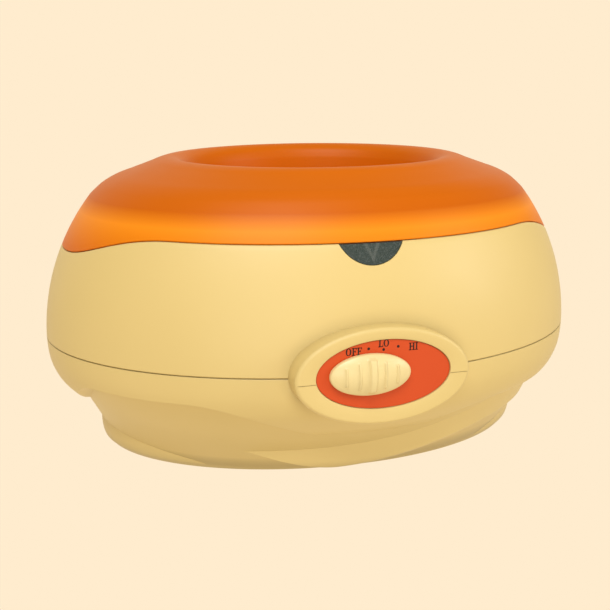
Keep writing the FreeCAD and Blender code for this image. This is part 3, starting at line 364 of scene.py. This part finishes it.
NODE_MATERIALS = {
    "rubber_feet": RUBBER, "case_screws": STEEL, "tank": ALUMINIUM, "tank_gasket": SILICONE,
    "flange_studs": STEEL, "flange_nuts": STEEL, "insulation_band": GLASS_WOOL, "heater_plate": MICA,
    "heater_clamp_plate": STEEL, "heater_studs": STEEL, "heater_nuts": STEEL, "shield_spacers": STEEL,
    "heat_shield": ALUMINIUM, "shield_nuts": STEEL, "thermal_fuse": STEEL, "fuse_clip": STEEL,
    "hand_guard_grille": WHITE, "control_plate": PLATE_ORANGE, "slide_carriage": BLACK, "knob_screw": STEEL,
    "slide_track": BLACK, "track_screws": STEEL, "thermostat_bracket": STEEL, "bracket_screws": STEEL,
    "thermostat_body": BLACK, "thermostat_shaft": BRASS, "thermostat_lever": BLACK, "lamp_holder": WHITE,
    "power_lamp": LAMP, "ready_lamp": LAMP, "power_inlet": BLACK, "inlet_pins": BRASS, "inlet_screws": STEEL,
    "terminal_block": WHITE, "terminal_screws": BRASS, "mains_wires": RED_WIRE, "heater_wires": RED_WIRE,
    "control_wires": BLUE_WIRE, "lamp_wires": BLUE_WIRE,
}


def dress_cad_nodes():
    for node, material in NODE_MATERIALS.items():
        mesh_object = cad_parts[node]
        mesh_object.data.materials.clear()
        mesh_object.data.materials.append(material)


def add_piece(name, verts, faces, material, body="root", smooth=True):
    """Object from points in millimetres, riding on a CAD body."""
    mesh = bpy.data.meshes.new(name)
    mesh.from_pydata([(x * MM, y * MM, z * MM) for x, y, z in verts], [], faces)
    work = bmesh.new()
    work.from_mesh(mesh)
    bmesh.ops.remove_doubles(work, verts=work.verts, dist=1e-6)
    bmesh.ops.recalc_face_normals(work, faces=work.faces)
    work.to_mesh(mesh)
    work.free()
    mesh.update()
    for polygon in mesh.polygons:
        polygon.use_smooth = smooth
    mesh.materials.append(material)
    piece = bpy.data.objects.new(name, mesh)
    bpy.context.scene.collection.objects.link(piece)
    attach(piece, body)
    return piece


def ring_surface(rings, closed_ends=(False, False), loop=False):
    """Verts and faces of stacked closed rings, each a list of the same number of points."""
    verts = [point for ring in rings for point in ring]
    count = len(rings[0])
    faces = []
    pairs = len(rings) if loop else len(rings) - 1
    for r in range(pairs):
        low, high = r * count, ((r + 1) % len(rings)) * count
        for i in range(count):
            j = (i + 1) % count
            faces.append((low + i, low + j, high + j, high + i))
    if closed_ends[0]:
        faces.append(tuple(range(count)))
    if closed_ends[1]:
        faces.append(tuple(range((len(rings) - 1) * count, len(rings) * count)))
    return verts, faces


def smoothstep(t):
    t = max(0.0, min(1.0, t))
    return t * t * (3 - 2 * t)


def mix(a, b, t):
    return a + (b - a) * t


def through(points, x):
    """Smooth value at x through (x, value) points: Catmull-Rom, end values repeated past the ends."""
    if x <= points[0][0]:
        return points[0][1]
    if x >= points[-1][0]:
        return points[-1][1]
    k = next(i for i in range(len(points) - 1) if points[i][0] <= x <= points[i + 1][0])
    x0, y0 = points[k]
    x1, y1 = points[k + 1]
    before = points[k - 1] if k > 0 else (2 * x0 - x1, y0)
    after = points[k + 2] if k + 2 < len(points) else (2 * x1 - x0, y1)
    slope0 = (y1 - before[1]) / (x1 - before[0])
    slope1 = (after[1] - y0) / (after[0] - x0)
    span = x1 - x0
    t = (x - x0) / span
    a, b = 2 * t ** 3 - 3 * t ** 2 + 1, t ** 3 - 2 * t ** 2 + t
    c, d = -2 * t ** 3 + 3 * t ** 2, t ** 3 - t ** 2
    return a * y0 + b * span * slope0 + c * y1 + d * span * slope1


def side_half(z, inward=0.0):
    """Half-length of the case wall above the seam."""
    return CASE_HALF_X - SIDE_RADIUS + math.sqrt((SIDE_RADIUS - inward) ** 2 - (z - SEAM) ** 2)


def rim_height(y):
    if abs(y) >= RIM_DIP_HALF:
        return RIM_FRONT
    return RIM_ENDS + (RIM_FRONT - RIM_ENDS) * math.sin(math.pi * abs(y) / (2 * RIM_DIP_HALF)) ** 3.4


def rim_on_wall(angle, inward=0.0):
    """Height of the lid's parting line where it crosses the wall at a plan angle."""
    z = RIM_FRONT
    for _ in range(12):
        y = side_half(z, inward) * CASE_RATIO * math.sin(angle)
        z = mix(z, rim_height(y), 0.6)
    return z


def plan_angles(count=AROUND):
    return [2 * math.pi * i / count for i in range(count)]


def oval_point(angle, half_x, half_y, z):
    return (half_x * math.cos(angle), half_y * math.sin(angle), z)


def wall_ring_at(height_of, inward):
    """Ring on the case wall, or a depth below its surface, whose height may change round it."""
    ring = []
    for angle in plan_angles():
        z = height_of(angle)
        half = side_half(z, inward)
        ring.append(oval_point(angle, half, half * CASE_RATIO, z))
    return ring


# ---- wavy base --------------------------------------------------------------------------------
# Three nested bands wrap the base; each shows only above its own wavy lower edge, which leaves crisp
# steps at the front left that soften towards the right. Profiles are (height, half-length).
UPPER_BAND = [(27.0, 146.0), (31.5, 158.0), (38.6, 168.5), (46.0, 177.0), (52.5, 181.6), (62.0, 185.2),
              (SEAM, CASE_HALF_X)]
MIDDLE_BAND = [(BASE_UNDERSIDE, 149.0), (8.0, 152.4), (19.5, 155.2), (30.0, 160.2), (37.0, 163.6),
               (45.0, 168.0), (58.0, 173.0)]
LOWER_BAND = [(BASE_UNDERSIDE, 147.2), (4.5, 150.4), (12.0, 152.0), (22.0, 151.6), (32.0, 151.0)]
UPPER_RATIO, MIDDLE_RATIO, LOWER_RATIO = CASE_RATIO, 0.728, 0.680
MIDDLE_SHIFT = 3.2           # the middle band sits this far right of the others
# Each wavy edge: heights of its left crest, trough and right crest, where along X it falls and rises, and
# how it droops round the left end (from where, how steeply, down to what height).
UPPER_WAVE = {"left": 56.0, "trough": 24.0, "right": 41.0, "fall": (-110.0, -6.0), "rise": (12.0, 100.0),
              "bend": -157.0, "droop": 0.066, "end": 37.0}
MIDDLE_WAVE = {"left": 25.0, "trough": 3.0, "right": 20.0, "fall": (-116.0, -14.0), "rise": (-20.0, 150.0),
               "bend": -115.0, "droop": 0.006, "end": 14.0}
MIDDLE_WAVE_LEVEL = 18.0     # heights at which a plan direction is turned into a place along X
UPPER_WAVE_LEVEL = 45.0
BASE_AROUND = 480
BASE_LEVELS = 120
STEP_SOFT_LEFT = 0.9         # height over which a step falls, at the left end
STEP_SOFT_RIGHT = 9.0        # the same at the right end


def band_scale(profile, ratio, shift, angle, z):
    """Distance from the axis to a band's surface in a plan direction."""
    half = through(profile, z)
    c, s = math.cos(angle), math.sin(angle) / ratio
    a = c * c + s * s
    b = -2 * shift * c
    k = shift * shift - half * half
    return (-b + math.sqrt(b * b - 4 * a * k)) / (2 * a)


def wave_height(wave, x):
    """Height of a wavy edge: down from the left crest to the trough, up to the right crest."""
    fall_start, fall_end = wave["fall"]
    rise_start, rise_end = wave["rise"]
    down = smoothstep((x - fall_start) / (fall_end - fall_start))
    up = smoothstep((x - rise_start) / (rise_end - rise_start))
    height = wave["left"] + (wave["trough"] - wave["left"]) * down + (wave["right"] - wave["trough"]) * up
    if x < wave["bend"]:
        height = max(wave["end"], height - wave["droop"] * (wave["bend"] - x) ** 2)
    return height


def wave_edges(angle):
    """Heights of the two wavy edges in a plan direction."""
    middle_x = band_scale(MIDDLE_BAND, MIDDLE_RATIO, MIDDLE_SHIFT, angle, MIDDLE_WAVE_LEVEL) * math.cos(angle)
    upper_x = band_scale(UPPER_BAND, UPPER_RATIO, 0.0, angle, UPPER_WAVE_LEVEL) * math.cos(angle)
    return wave_height(MIDDLE_WAVE, middle_x), wave_height(UPPER_WAVE, upper_x)


def base_radius(angle, z):
    """Outermost of the bands that are present at this height, with the step between them eased."""
    edge_middle, edge_upper = wave_edges(angle)
    sideways = (math.cos(angle) + 1.0) / 2
    soft = mix(STEP_SOFT_LEFT, STEP_SOFT_RIGHT, smoothstep(sideways * 1.6 - 0.35))
    low = band_scale(LOWER_BAND, LOWER_RATIO, 0.0, angle, z)
    middle = band_scale(MIDDLE_BAND, MIDDLE_RATIO, MIDDLE_SHIFT, angle, z)
    upper = band_scale(UPPER_BAND, UPPER_RATIO, 0.0, angle, z)
    radius = low
    if middle > radius:
        radius = mix(radius, middle, smoothstep((z - edge_middle) / soft + 0.5))
    if upper > radius:
        radius = mix(radius, upper, smoothstep((z - edge_upper) / soft + 0.5))
    return radius


def crowd(t):
    """Moves rows towards both ends of a stretch, where the steps are."""
    return mix(t, smoothstep(t), 0.75)


def base_ring(level):
    """One ring of the base grid; level runs 0 to 1 from the underside to the seam."""
    ring = []
    for angle in plan_angles(BASE_AROUND):
        first, second = wave_edges(angle)
        stops = [BASE_UNDERSIDE, max(first, BASE_UNDERSIDE + 1.0), second, SEAM - SEAM_GAP / 2]
        span = level * 3
        k = min(2, int(span))
        z = mix(stops[k], stops[k + 1], crowd(span - k))
        radius = base_radius(angle, z)
        ring.append((radius * math.cos(angle), radius * math.sin(angle), z))
    return ring


def make_lower_housing():
    """Wavy shell with the tongue that locates the upper case; inside it tapers down to the floor."""
    tongue_half, tongue_top = CASE_HALF_X - 1.4, SEAM + 2.4
    rings = [base_ring(i / BASE_LEVELS) for i in range(BASE_LEVELS + 1)]
    shelf = [oval_point(angle, tongue_half, tongue_half * CASE_RATIO, SEAM - SEAM_GAP / 2)
             for angle in plan_angles(BASE_AROUND)]
    rings.append(shelf)
    rings.append([(x, y, tongue_top) for x, y, z in shelf])
    rings.append([(x * 0.994, y * 0.992, tongue_top) for x, y, z in shelf])
    rings.append([(x * 0.994, y * 0.992, z) for x, y, z in shelf])
    rings.append([(x * 0.78, y * 0.74, BASE_UNDERSIDE + WALL) for x, y, z in shelf])
    verts, faces = ring_surface(rings)
    faces.append(tuple(range(len(verts) - BASE_AROUND, len(verts))))
    piece = add_piece("wavy_base", verts, faces, CREAM)
    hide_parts("lower_housing")
    add_base_floor()
    return piece


def add_base_floor():
    """Underside with its rows of vent slots: a plate pierced by the slots."""
    slots_each_side, first_x, pitch, half_width, half_length = 7, 22, 9, 1.5, 22
    work = bmesh.new()
    outer = [work.verts.new((x, y, BASE_UNDERSIDE)) for x, y, z in base_ring(0.0)[::3]]
    edges = [work.edges.new((outer[i], outer[(i + 1) % len(outer)])) for i in range(len(outer))]
    for side in (-1, 1):
        for k in range(slots_each_side):
            x = side * (first_x + pitch * k)
            corners = rectangle(x - half_width, x + half_width, -half_length, half_length)
            slot = [work.verts.new((cx, cy, BASE_UNDERSIDE)) for cx, cy in corners]
            edges += [work.edges.new((slot[i], slot[(i + 1) % 4])) for i in range(4)]
    bmesh.ops.triangle_fill(work, use_beauty=True, use_dissolve=False, edges=edges)
    work.verts.index_update()
    verts = [tuple(v.co) for v in work.verts]
    faces = [tuple(v.index for v in f.verts) for f in work.faces]
    work.free()
    return add_piece("base_floor", verts, faces, CREAM, smooth=False)


def carve(piece, cutter):
    """Cuts one closed mesh out of another for good, and removes the cutter."""
    modifier = piece.modifiers.new("carve", "BOOLEAN")
    modifier.object = cutter
    modifier.operation = "DIFFERENCE"
    modifier.solver = "EXACT"
    bpy.context.view_layer.update()
    evaluated = piece.evaluated_get(bpy.context.evaluated_depsgraph_get())
    carved = bpy.data.meshes.new_from_object(evaluated)
    piece.modifiers.clear()
    piece.data = carved
    bpy.data.objects.remove(cutter)


def closed_prism(outline, start, end, along):
    """Cutter: an outline in two coordinates run from start to end along X or Y, in millimetres."""
    place = {"X": lambda u, v, w: (w, u, v), "Y": lambda u, v, w: (u, w, v)}[along]
    rings = [[place(u, v, w) for u, v in outline] for w in (start, end)]
    verts, faces = ring_surface(rings, (True, True))
    mesh = bpy.data.meshes.new("cutter")
    mesh.from_pydata([(x * MM, y * MM, z * MM) for x, y, z in verts], [], faces)
    work = bmesh.new()
    work.from_mesh(mesh)
    bmesh.ops.recalc_face_normals(work, faces=work.faces)
    work.to_mesh(mesh)
    work.free()
    cutter = bpy.data.objects.new("cutter", mesh)
    bpy.context.scene.collection.objects.link(cutter)
    return cutter


def rectangle(x0, x1, y0, y1):
    return [(x0, y0), (x1, y0), (x1, y1), (x0, y1)]


# ---- upper case -------------------------------------------------------------------------------
def make_upper_housing():
    low = SEAM + SEAM_GAP / 2
    under_deck = DECK_TOP - DECK_THICKNESS
    levels = 28
    outer = [wall_ring_at(lambda angle: low + 0.5, 0.0)]
    for k in range(1, levels + 1):
        outer.append(wall_ring_at(lambda angle, k=k: mix(low, rim_on_wall(angle) - 0.8, k / levels), 0.0))
    rounded = wall_ring_at(lambda angle: rim_on_wall(angle) - 0.2, 0.25)
    crest = wall_ring_at(rim_on_wall, 0.9)
    inner_top = wall_ring_at(lambda angle: rim_on_wall(angle) - 0.2, WALL)
    inner_deck = wall_ring_at(lambda angle: DECK_TOP, WALL)
    hole_top = [oval_point(angle, *DECK_HOLE, DECK_TOP) for angle in plan_angles()]
    hole_low = [(x, y, under_deck) for x, y, z in hole_top]
    inner_under = wall_ring_at(lambda angle: under_deck, WALL)
    inner_low = wall_ring_at(lambda angle: low, WALL)
    seam_edge = wall_ring_at(lambda angle: low, 0.5)
    inside = [inner_top, inner_deck, hole_top, hole_low, inner_under, inner_low]
    rings = [seam_edge] + outer + [rounded, crest] + inside
    verts, faces = ring_surface(rings, loop=True)
    piece = add_piece("upper_case", verts, faces, CREAM)
    notch = LENS_RADIUS + LENS_GAP
    disc = [(notch * math.cos(t), LENS_CENTRE_Z + notch * math.sin(t)) for t in plan_angles(96)]
    carve(piece, closed_prism(disc, -150.0, -112.0, "Y"))
    shade_by_angle(piece, 35)
    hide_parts("upper_housing")
    return piece


def shade_by_angle(piece, degrees):
    """Smooth shading that keeps edges sharper than the angle."""
    mesh = piece.data
    for polygon in mesh.polygons:
        polygon.use_smooth = True
    mesh.set_sharp_from_angle(angle=math.radians(degrees))


def make_lamp_bay():
    """Roof and walls of the bay behind the lens, seen when the lid is off."""
    outline = []
    x0, x1, y0, y1, r = -26.0, 26.0, -122.5, -106.0, 3.0
    corners = ((x1 - r, y0 + r, -90), (x1 - r, y1 - r, 0), (x0 + r, y1 - r, 90), (x0 + r, y0 + r, 180))
    for cx, cy, start in corners:
        for k in range(7):
            turn = math.radians(start + 15 * k)
            outline.append((cx + r * math.cos(turn), cy + r * math.sin(turn)))
    levels = ((DECK_TOP - 0.5, 1.0), (151.6, 1.0), (152.3, 0.985), (152.6, 0.96))
    cy = (y0 + y1) / 2
    rings = [[(x * s, cy + (y - cy) * s, z) for x, y in outline] for z, s in levels]
    verts, faces = ring_surface(rings, (True, True))
    return add_piece("lamp_bay", verts, faces, CREAM)


def make_bezel():
    """Raised oval ring round the control panel, with its recess, split by the case seam."""
    count = 200
    rings = []

    def ring(half_x, half_z, centre_z, y):
        rings.append([(half_x * math.cos(a), y, centre_z + half_z * math.sin(a)) for a in plan_angles(count)])

    half_x, half_z = BEZEL_HALF
    recess_x, recess_z = PLATE_HALF[0] + 0.3, PLATE_HALF[1] + 0.3
    ring(half_x, half_z, BEZEL_CENTRE_Z, BEZEL_BACK_Y)
    for k in range(9):
        turn = math.pi / 2 * k / 8
        inset = BEZEL_EDGE_ROUND * (1 - math.cos(turn))
        depth = BEZEL_EDGE_ROUND * (1 - math.sin(turn))
        ring(half_x - inset, half_z - inset, BEZEL_CENTRE_Z, BEZEL_FACE_Y + depth)
    for gap, depth in ((0.7, 0.0), (0.2, 0.2), (0.0, 0.6)):
        ring(recess_x + gap, recess_z + gap, PLATE_CENTRE_Z, BEZEL_FACE_Y + depth)
    ring(recess_x, recess_z, PLATE_CENTRE_Z, WEB_FRONT_Y)
    ring(*WEB_WINDOW_HALF, PLATE_CENTRE_Z, WEB_FRONT_Y)
    ring(*WEB_WINDOW_HALF, PLATE_CENTRE_Z, WEB_BACK_Y)
    ring(half_x - WALL, half_z - WALL, BEZEL_CENTRE_Z, WEB_BACK_Y)
    ring(half_x - WALL, half_z - WALL, BEZEL_CENTRE_Z, BEZEL_BACK_Y)
    verts, faces = ring_surface(rings, loop=True)
    piece = add_piece("bezel", verts, faces, CREAM)
    groove = rectangle(BEZEL_FACE_Y - 3.0, BEZEL_FACE_Y + 0.4, SEAM - SEAM_GAP / 3, SEAM + SEAM_GAP / 3)
    carve(piece, closed_prism(groove, -half_x - 15.0, half_x + 15.0, "X"))
    shade_by_angle(piece, 40)
    return piece


# ---- lens, knob, lettering --------------------------------------------------------------------
def wall_y(x, z, inward=0.0):
    half = side_half(z, inward)
    return -half * CASE_RATIO * math.sqrt(1 - (x / half) ** 2)


def make_lens():
    rows, columns = 26, 44
    low, high = LENS_CENTRE_Z - LENS_RADIUS + 0.05, RIM_FRONT - 0.3
    front, back = [], []
    for r in range(rows + 1):
        z = mix(low, high, (r / rows) ** 1.6)
        half = math.sqrt(max(0.04, LENS_RADIUS ** 2 - (LENS_CENTRE_Z - z) ** 2))
        xs = [mix(-half, half, c / columns) for c in range(columns + 1)]
        front.append([(x, wall_y(x, z, 0.35), z) for x in xs])
        back.append([(x, wall_y(x, z, WALL), z) for x in xs])
    verts = [p for row in front + back for p in row]
    width = columns + 1
    faces = []
    for sheet in (0, rows + 1):
        for r in range(rows):
            for c in range(columns):
                a = (sheet + r) * width + c
                faces.append((a, a + 1, a + width + 1, a + width))
    offset = (rows + 1) * width
    for r in range(rows):
        for c in (0, columns):
            a = r * width + c
            faces.append((a, a + width, a + width + offset, a + offset))
    for r in (0, rows):
        for c in range(columns):
            a = r * width + c
            faces.append((a, a + 1, a + 1 + offset, a + offset))
    piece = add_piece("lens", verts, faces, LENS)
    shade_by_angle(piece, 40)
    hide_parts("indicator_lens")
    return piece


# distance from the middle, half-width, half-height and height of the knob's ribs, the same on both sides
KNOB_RIBS = ((0.0, 2.0, 11.2, 1.9), (8.0, 0.6, 8.8, 1.0), (16.0, 0.6, 6.2, 1.0))


def knob_surface(x, z):
    """How far the knob stands proud of its edge at a point of its oval."""
    reach = (x / KNOB_HALF[0]) ** 2 + (z / KNOB_HALF[1]) ** 2
    dome = KNOB_HEIGHT * (1 - min(1.0, reach)) ** 0.8
    ribs = 0.0
    for centre, half_width, half_height, proud in KNOB_RIBS:
        across = abs(abs(x) - centre) / half_width
        along = abs(z) / half_height
        if across < 1.6 and along < 1.0:
            ribs = max(ribs, proud * smoothstep(1.6 - across) * smoothstep((1 - along) * 6))
    return dome + ribs


def make_knob():
    edge_y = PLATE_FACE_Y - 0.4
    skirt = 2.2
    rounds, spokes = 56, 300
    half_x, half_z = KNOB_HALF
    rings = []
    for depth in (0.0, skirt * 0.5, skirt * 0.85):
        y = edge_y - depth
        rings.append([(half_x * math.cos(a), y, half_z * math.sin(a)) for a in plan_angles(spokes)])
    for k in range(1, rounds):
        share = 1 - (k / rounds)
        ring = []
        for a in plan_angles(spokes):
            x, z = half_x * share * math.cos(a), half_z * share * math.sin(a)
            ring.append((x, edge_y - skirt - knob_surface(x, z), z))
        rings.append(ring)
    verts, faces = ring_surface(rings, (True, True))
    centre_x, centre_z = KNOB_REST_X + KNOB_OFFSET[0], PLATE_CENTRE_Z + KNOB_OFFSET[1]
    verts = [(x + centre_x, y, z + centre_z) for x, y, z in verts]
    piece = add_piece("slider_knob", verts, faces, KNOB_CREAM, "slider")
    shade_by_angle(piece, 50)
    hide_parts("control_knob")
    return piece


# ---- lid --------------------------------------------------------------------------------------
def top_ratio(half):
    """Depth over length of the lid's ovals: the case's own at the shoulder, rounder round the well."""
    share = (SHOULDER_HALF - half) / (SHOULDER_HALF - WELL_HALF)
    return mix(CASE_RATIO, WELL_RATIO, max(0.0, min(1.0, share)) ** 1.7)


def smooth_path(points, per_span):
    """Points along a Catmull-Rom curve through the given ones."""
    ends = [points[0]] + list(points) + [points[-1]]
    path = []
    for k in range(1, len(ends) - 2):
        p0, p1, p2, p3 = ends[k - 1], ends[k], ends[k + 1], ends[k + 2]
        for i in range(per_span):
            t = i / per_span
            path.append(tuple(
                0.5 * (2 * b + (c - a) * t + (2 * a - 5 * b + 4 * c - d) * t * t
                       + (3 * b - a - 3 * c + d) * t ** 3)
                for a, b, c, d in zip(p0, p1, p2, p3)
            ))
    path.append(points[-1])
    return path


def lid_ring(half, z):
    ratio = top_ratio(half)
    return [oval_point(angle, half, half * ratio, z) for angle in plan_angles()]


def lid_rim_ring(rise, inward, share, top):
    """Ring between the wavy parting line (share 0) and a level height (share 1)."""
    ring = []
    for angle in plan_angles():
        z = mix(rim_on_wall(angle) + LID_GAP + rise, top, share)
        half = side_half(z, inward)
        ring.append(oval_point(angle, half, half * CASE_RATIO, z))
    return ring


def make_lid():
    shoulder = side_half(SHOULDER_START_Z)
    crown = [(shoulder, SHOULDER_START_Z), (149.3, 174.0), (144.2, 178.0), (136.4, 182.1), SHOULDER_END,
             (114.0, 190.0), (106.5, 192.8), LIP_TOP, (94.5, 193.2), (89.6, 190.0), WELL_WALL_TOP]
    well = [WELL_WALL_TOP, (85.4, 175.0), WELL_WALL_FOOT, (81.6, 158.8), WELL_FLOOR_EDGE, (60.0, 155.6)]
    under_well = [(60.0, 153.4), (78.0, 153.8), (84.2, 157.4), (86.8, 164.5), (88.0, 175.0), (89.6, 183.0)]
    under_crown = [(92.6, 188.6), (100.0, 191.4), (113.0, 187.6), (126.0, 183.1), (135.0, 179.8),
                   (142.2, 176.2), (150.6, 169.2)]
    rings = []
    rise = 14
    for k in range(rise + 1):
        rings.append(lid_rim_ring(0.5, 0.0, k / rise, SHOULDER_START_Z))
    for half, z in smooth_path(crown, 5)[1:] + smooth_path(well, 5)[1:]:
        rings.append(lid_ring(half, z))
    for half, z in smooth_path(under_well, 3) + smooth_path(under_crown, 3):
        rings.append(lid_ring(half, z))
    for k in range(6, -1, -1):
        rings.append(lid_rim_ring(0.3, LID_WALL, k / 7, SHOULDER_START_Z - 1.0))
    rings.append(lid_rim_ring(0.0, LID_WALL - 0.5, 0.0, 0.0))
    rings.append(lid_rim_ring(0.0, 0.5, 0.0, 0.0))
    verts, faces = ring_surface(rings, loop=True)
    count = AROUND
    floor_ring = rise + 1 + 5 * (len(crown) - 1) + 5 * (len(well) - 1) - 1
    faces = [f for f in faces if not (f[0] // count == floor_ring and f[2] // count == floor_ring + 1)]
    faces.append(tuple(range(floor_ring * count, (floor_ring + 1) * count)))
    faces.append(tuple(range((floor_ring + 1) * count, (floor_ring + 2) * count)))
    piece = add_piece("lid_shell", verts, faces, LID_ORANGE, "lid")
    shade_by_angle(piece, 40)
    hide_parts("lid")
    return piece


def make_grip_bar():
    """Bar across the well, by which the lid is lifted; its ends run out into the well's wall."""
    half_width, low, stations = 9.0, 155.0, 25
    half_length = 74.5
    rings = []
    for k in range(stations):
        y = mix(-half_length, half_length, k / (stations - 1))
        ring = []
        for i in range(25):
            turn = math.pi * i / 24
            swell = abs(math.cos(turn)) ** 0.55 * (1 if math.cos(turn) >= 0 else -1)
            ring.append((half_width * (1.18 - 0.18 * math.sin(turn)) * swell, y,
                         low + (GRIP_TOP - low) * math.sin(turn) ** 0.6))
        rings.append(ring)
    verts, faces = ring_surface(rings, (True, True))
    return add_piece("lid_grip", verts, faces, LID_ORANGE, "lid")


def make_skirt():
    """Locating skirt under the lid, open at the front for the lamp bay."""
    low, high, wall, notch, half = 141.0, 159.6, 1.8, 32.0, 160.2
    open_turn = math.asin(notch / half)
    start, turn = -math.pi / 2 + open_turn, 2 * math.pi - 2 * open_turn
    rings = []
    for k in range(161):
        angle = start + turn * k / 160
        outer = (half * math.cos(angle), half * CASE_RATIO * math.sin(angle))
        inner = ((half - wall) * math.cos(angle), (half - wall) * CASE_RATIO * math.sin(angle))
        rings.append([(*outer, low), (*outer, high), (*inner, high), (*inner, low)])
    verts, faces = ring_surface(rings, (True, True))
    piece = add_piece("lid_skirt", verts, faces, LID_ORANGE, "lid")
    shade_by_angle(piece, 40)
    return piece


# ---- dial lettering ---------------------------------------------------------------------------
# Strokes of each slab-serif letter as rectangles (x0, x1, z0, z1) in units of the letter's height.
LETTER_STROKES = {
    "F": [(0.12, 0.30, 0, 1), (0.0, 0.42, 0, 0.09), (0.0, 0.66, 0.90, 1), (0.30, 0.52, 0.46, 0.57),
          (0.57, 0.66, 0.74, 1), (0.44, 0.52, 0.38, 0.64)],
    "L": [(0.12, 0.30, 0, 1), (0.0, 0.42, 0.91, 1), (0.0, 0.66, 0, 0.10), (0.57, 0.66, 0, 0.30)],
    "H": [(0.10, 0.28, 0, 1), (0.56, 0.74, 0, 1), (0.0, 0.38, 0, 0.09), (0.0, 0.38, 0.91, 1),
          (0.46, 0.84, 0, 0.09), (0.46, 0.84, 0.91, 1), (0.28, 0.56, 0.46, 0.57)],
    "I": [(0.10, 0.28, 0, 1), (0.0, 0.38, 0, 0.09), (0.0, 0.38, 0.91, 1)],
}
LETTER_WIDTH = {"O": 0.82, "F": 0.70, "L": 0.70, "H": 0.88, "I": 0.42}
LETTER_HEIGHT = 4.6
DOT_RADIUS = 0.85
INK_RAISE = 0.08


def flat_polygon(outline, x, z, size):
    """Front-facing polygon just proud of the plate."""
    return [(x + u * size, PLATE_FACE_Y - INK_RAISE, z + v * size) for u, v in outline]


def ring_polygons(x, z, size):
    """Letter O: thick at the sides, thin at top and bottom."""
    polygons = []
    for k in range(28):
        corners = []
        for turn, inner in ((k, False), (k + 1, False), (k + 1, True), (k, True)):
            angle = 2 * math.pi * turn / 28
            half_x, half_z = (0.19, 0.42) if inner else (0.38, 0.5)
            corners.append((0.39 + half_x * math.cos(angle), 0.5 + half_z * math.sin(angle)))
        polygons.append(flat_polygon(corners, x, z, size))
    return polygons


def make_label(text, centre_x, centre_z, size):
    width = sum(LETTER_WIDTH[letter] for letter in text) * size
    x, z = centre_x - width / 2, centre_z - size / 2
    polygons = []
    for letter in text:
        if letter == "O":
            polygons += ring_polygons(x, z, size)
        else:
            for x0, x1, z0, z1 in LETTER_STROKES[letter]:
                polygons.append(flat_polygon(rectangle(x0, x1, z0, z1), x, z, size))
        x += LETTER_WIDTH[letter] * size
    verts = [point for polygon in polygons for point in polygon]
    faces = [tuple(range(4 * k, 4 * k + 4)) for k in range(len(polygons))]
    return add_piece("label_" + text, verts, faces, INK, smooth=False)


def make_dot(name, x, z, radius):
    outline = [(radius * math.cos(t), radius * math.sin(t)) for t in plan_angles(24)]
    return add_piece(name, flat_polygon(outline, x, z, 1.0), [tuple(range(24))], INK, smooth=False)


# ---- mains inlet boss -------------------------------------------------------------------------
def rounded_rectangle(half_x, half_z, radius, centre_z):
    outline = []
    for side_x, side_z, start in ((1, 1, 0), (-1, 1, 90), (-1, -1, 180), (1, -1, 270)):
        for k in range(7):
            turn = math.radians(start + 15 * k)
            outline.append((side_x * (half_x - radius) + radius * math.cos(turn),
                            centre_z + side_z * (half_z - radius) + radius * math.sin(turn)))
    return outline


def make_inlet_boss():
    face_y, back_y, centre_z, edge_round = 155.0, 126.0, 52.0, 2.0
    half_x, half_z, corner = 27.0, 15.0, 6.0
    socket = (12.3, 8.3, 0.4)
    inside = (half_x - WALL, half_z - WALL, 3.0)
    sections = [(half_x, half_z, corner, back_y), (half_x, half_z, corner, face_y - edge_round)]
    for k in range(1, 6):
        turn = math.pi / 2 * k / 5
        inset = edge_round * (1 - math.cos(turn))
        y = face_y - edge_round + edge_round * math.sin(turn)
        sections.append((half_x - inset, half_z - inset, corner - inset, y))
    sections += [(*socket, face_y), (*socket, face_y - WALL), (*inside, face_y - WALL), (*inside, back_y)]
    rings = []
    for section_x, section_z, radius, y in sections:
        rings.append([(x, y, z) for x, z in rounded_rectangle(section_x, section_z, radius, centre_z)])
    verts, faces = ring_surface(rings, loop=True)
    piece = add_piece("inlet_boss", verts, faces, CREAM)
    shade_by_angle(piece, 40)
    return piece


# ---- assembly ---------------------------------------------------------------------------------
make_camera()
make_stage()
dress_cad_nodes()
for builder in (make_lower_housing, make_upper_housing, make_lamp_bay, make_bezel, make_lens, make_knob,
                make_lid, make_grip_bar, make_skirt, make_inlet_boss):
    builder()
for text, x, z in (("OFF", -19.2, 93.4), ("LO", -0.5, 97.2), ("HI", 18.4, 93.8)):
    make_label(text, x, z, LETTER_HEIGHT)
for number, x, z in ((1, -10.0, 94.5), (2, -0.6, 93.3), (3, 8.6, 94.5)):
    make_dot(f"dial_dot_{number}", x, z, DOT_RADIUS)
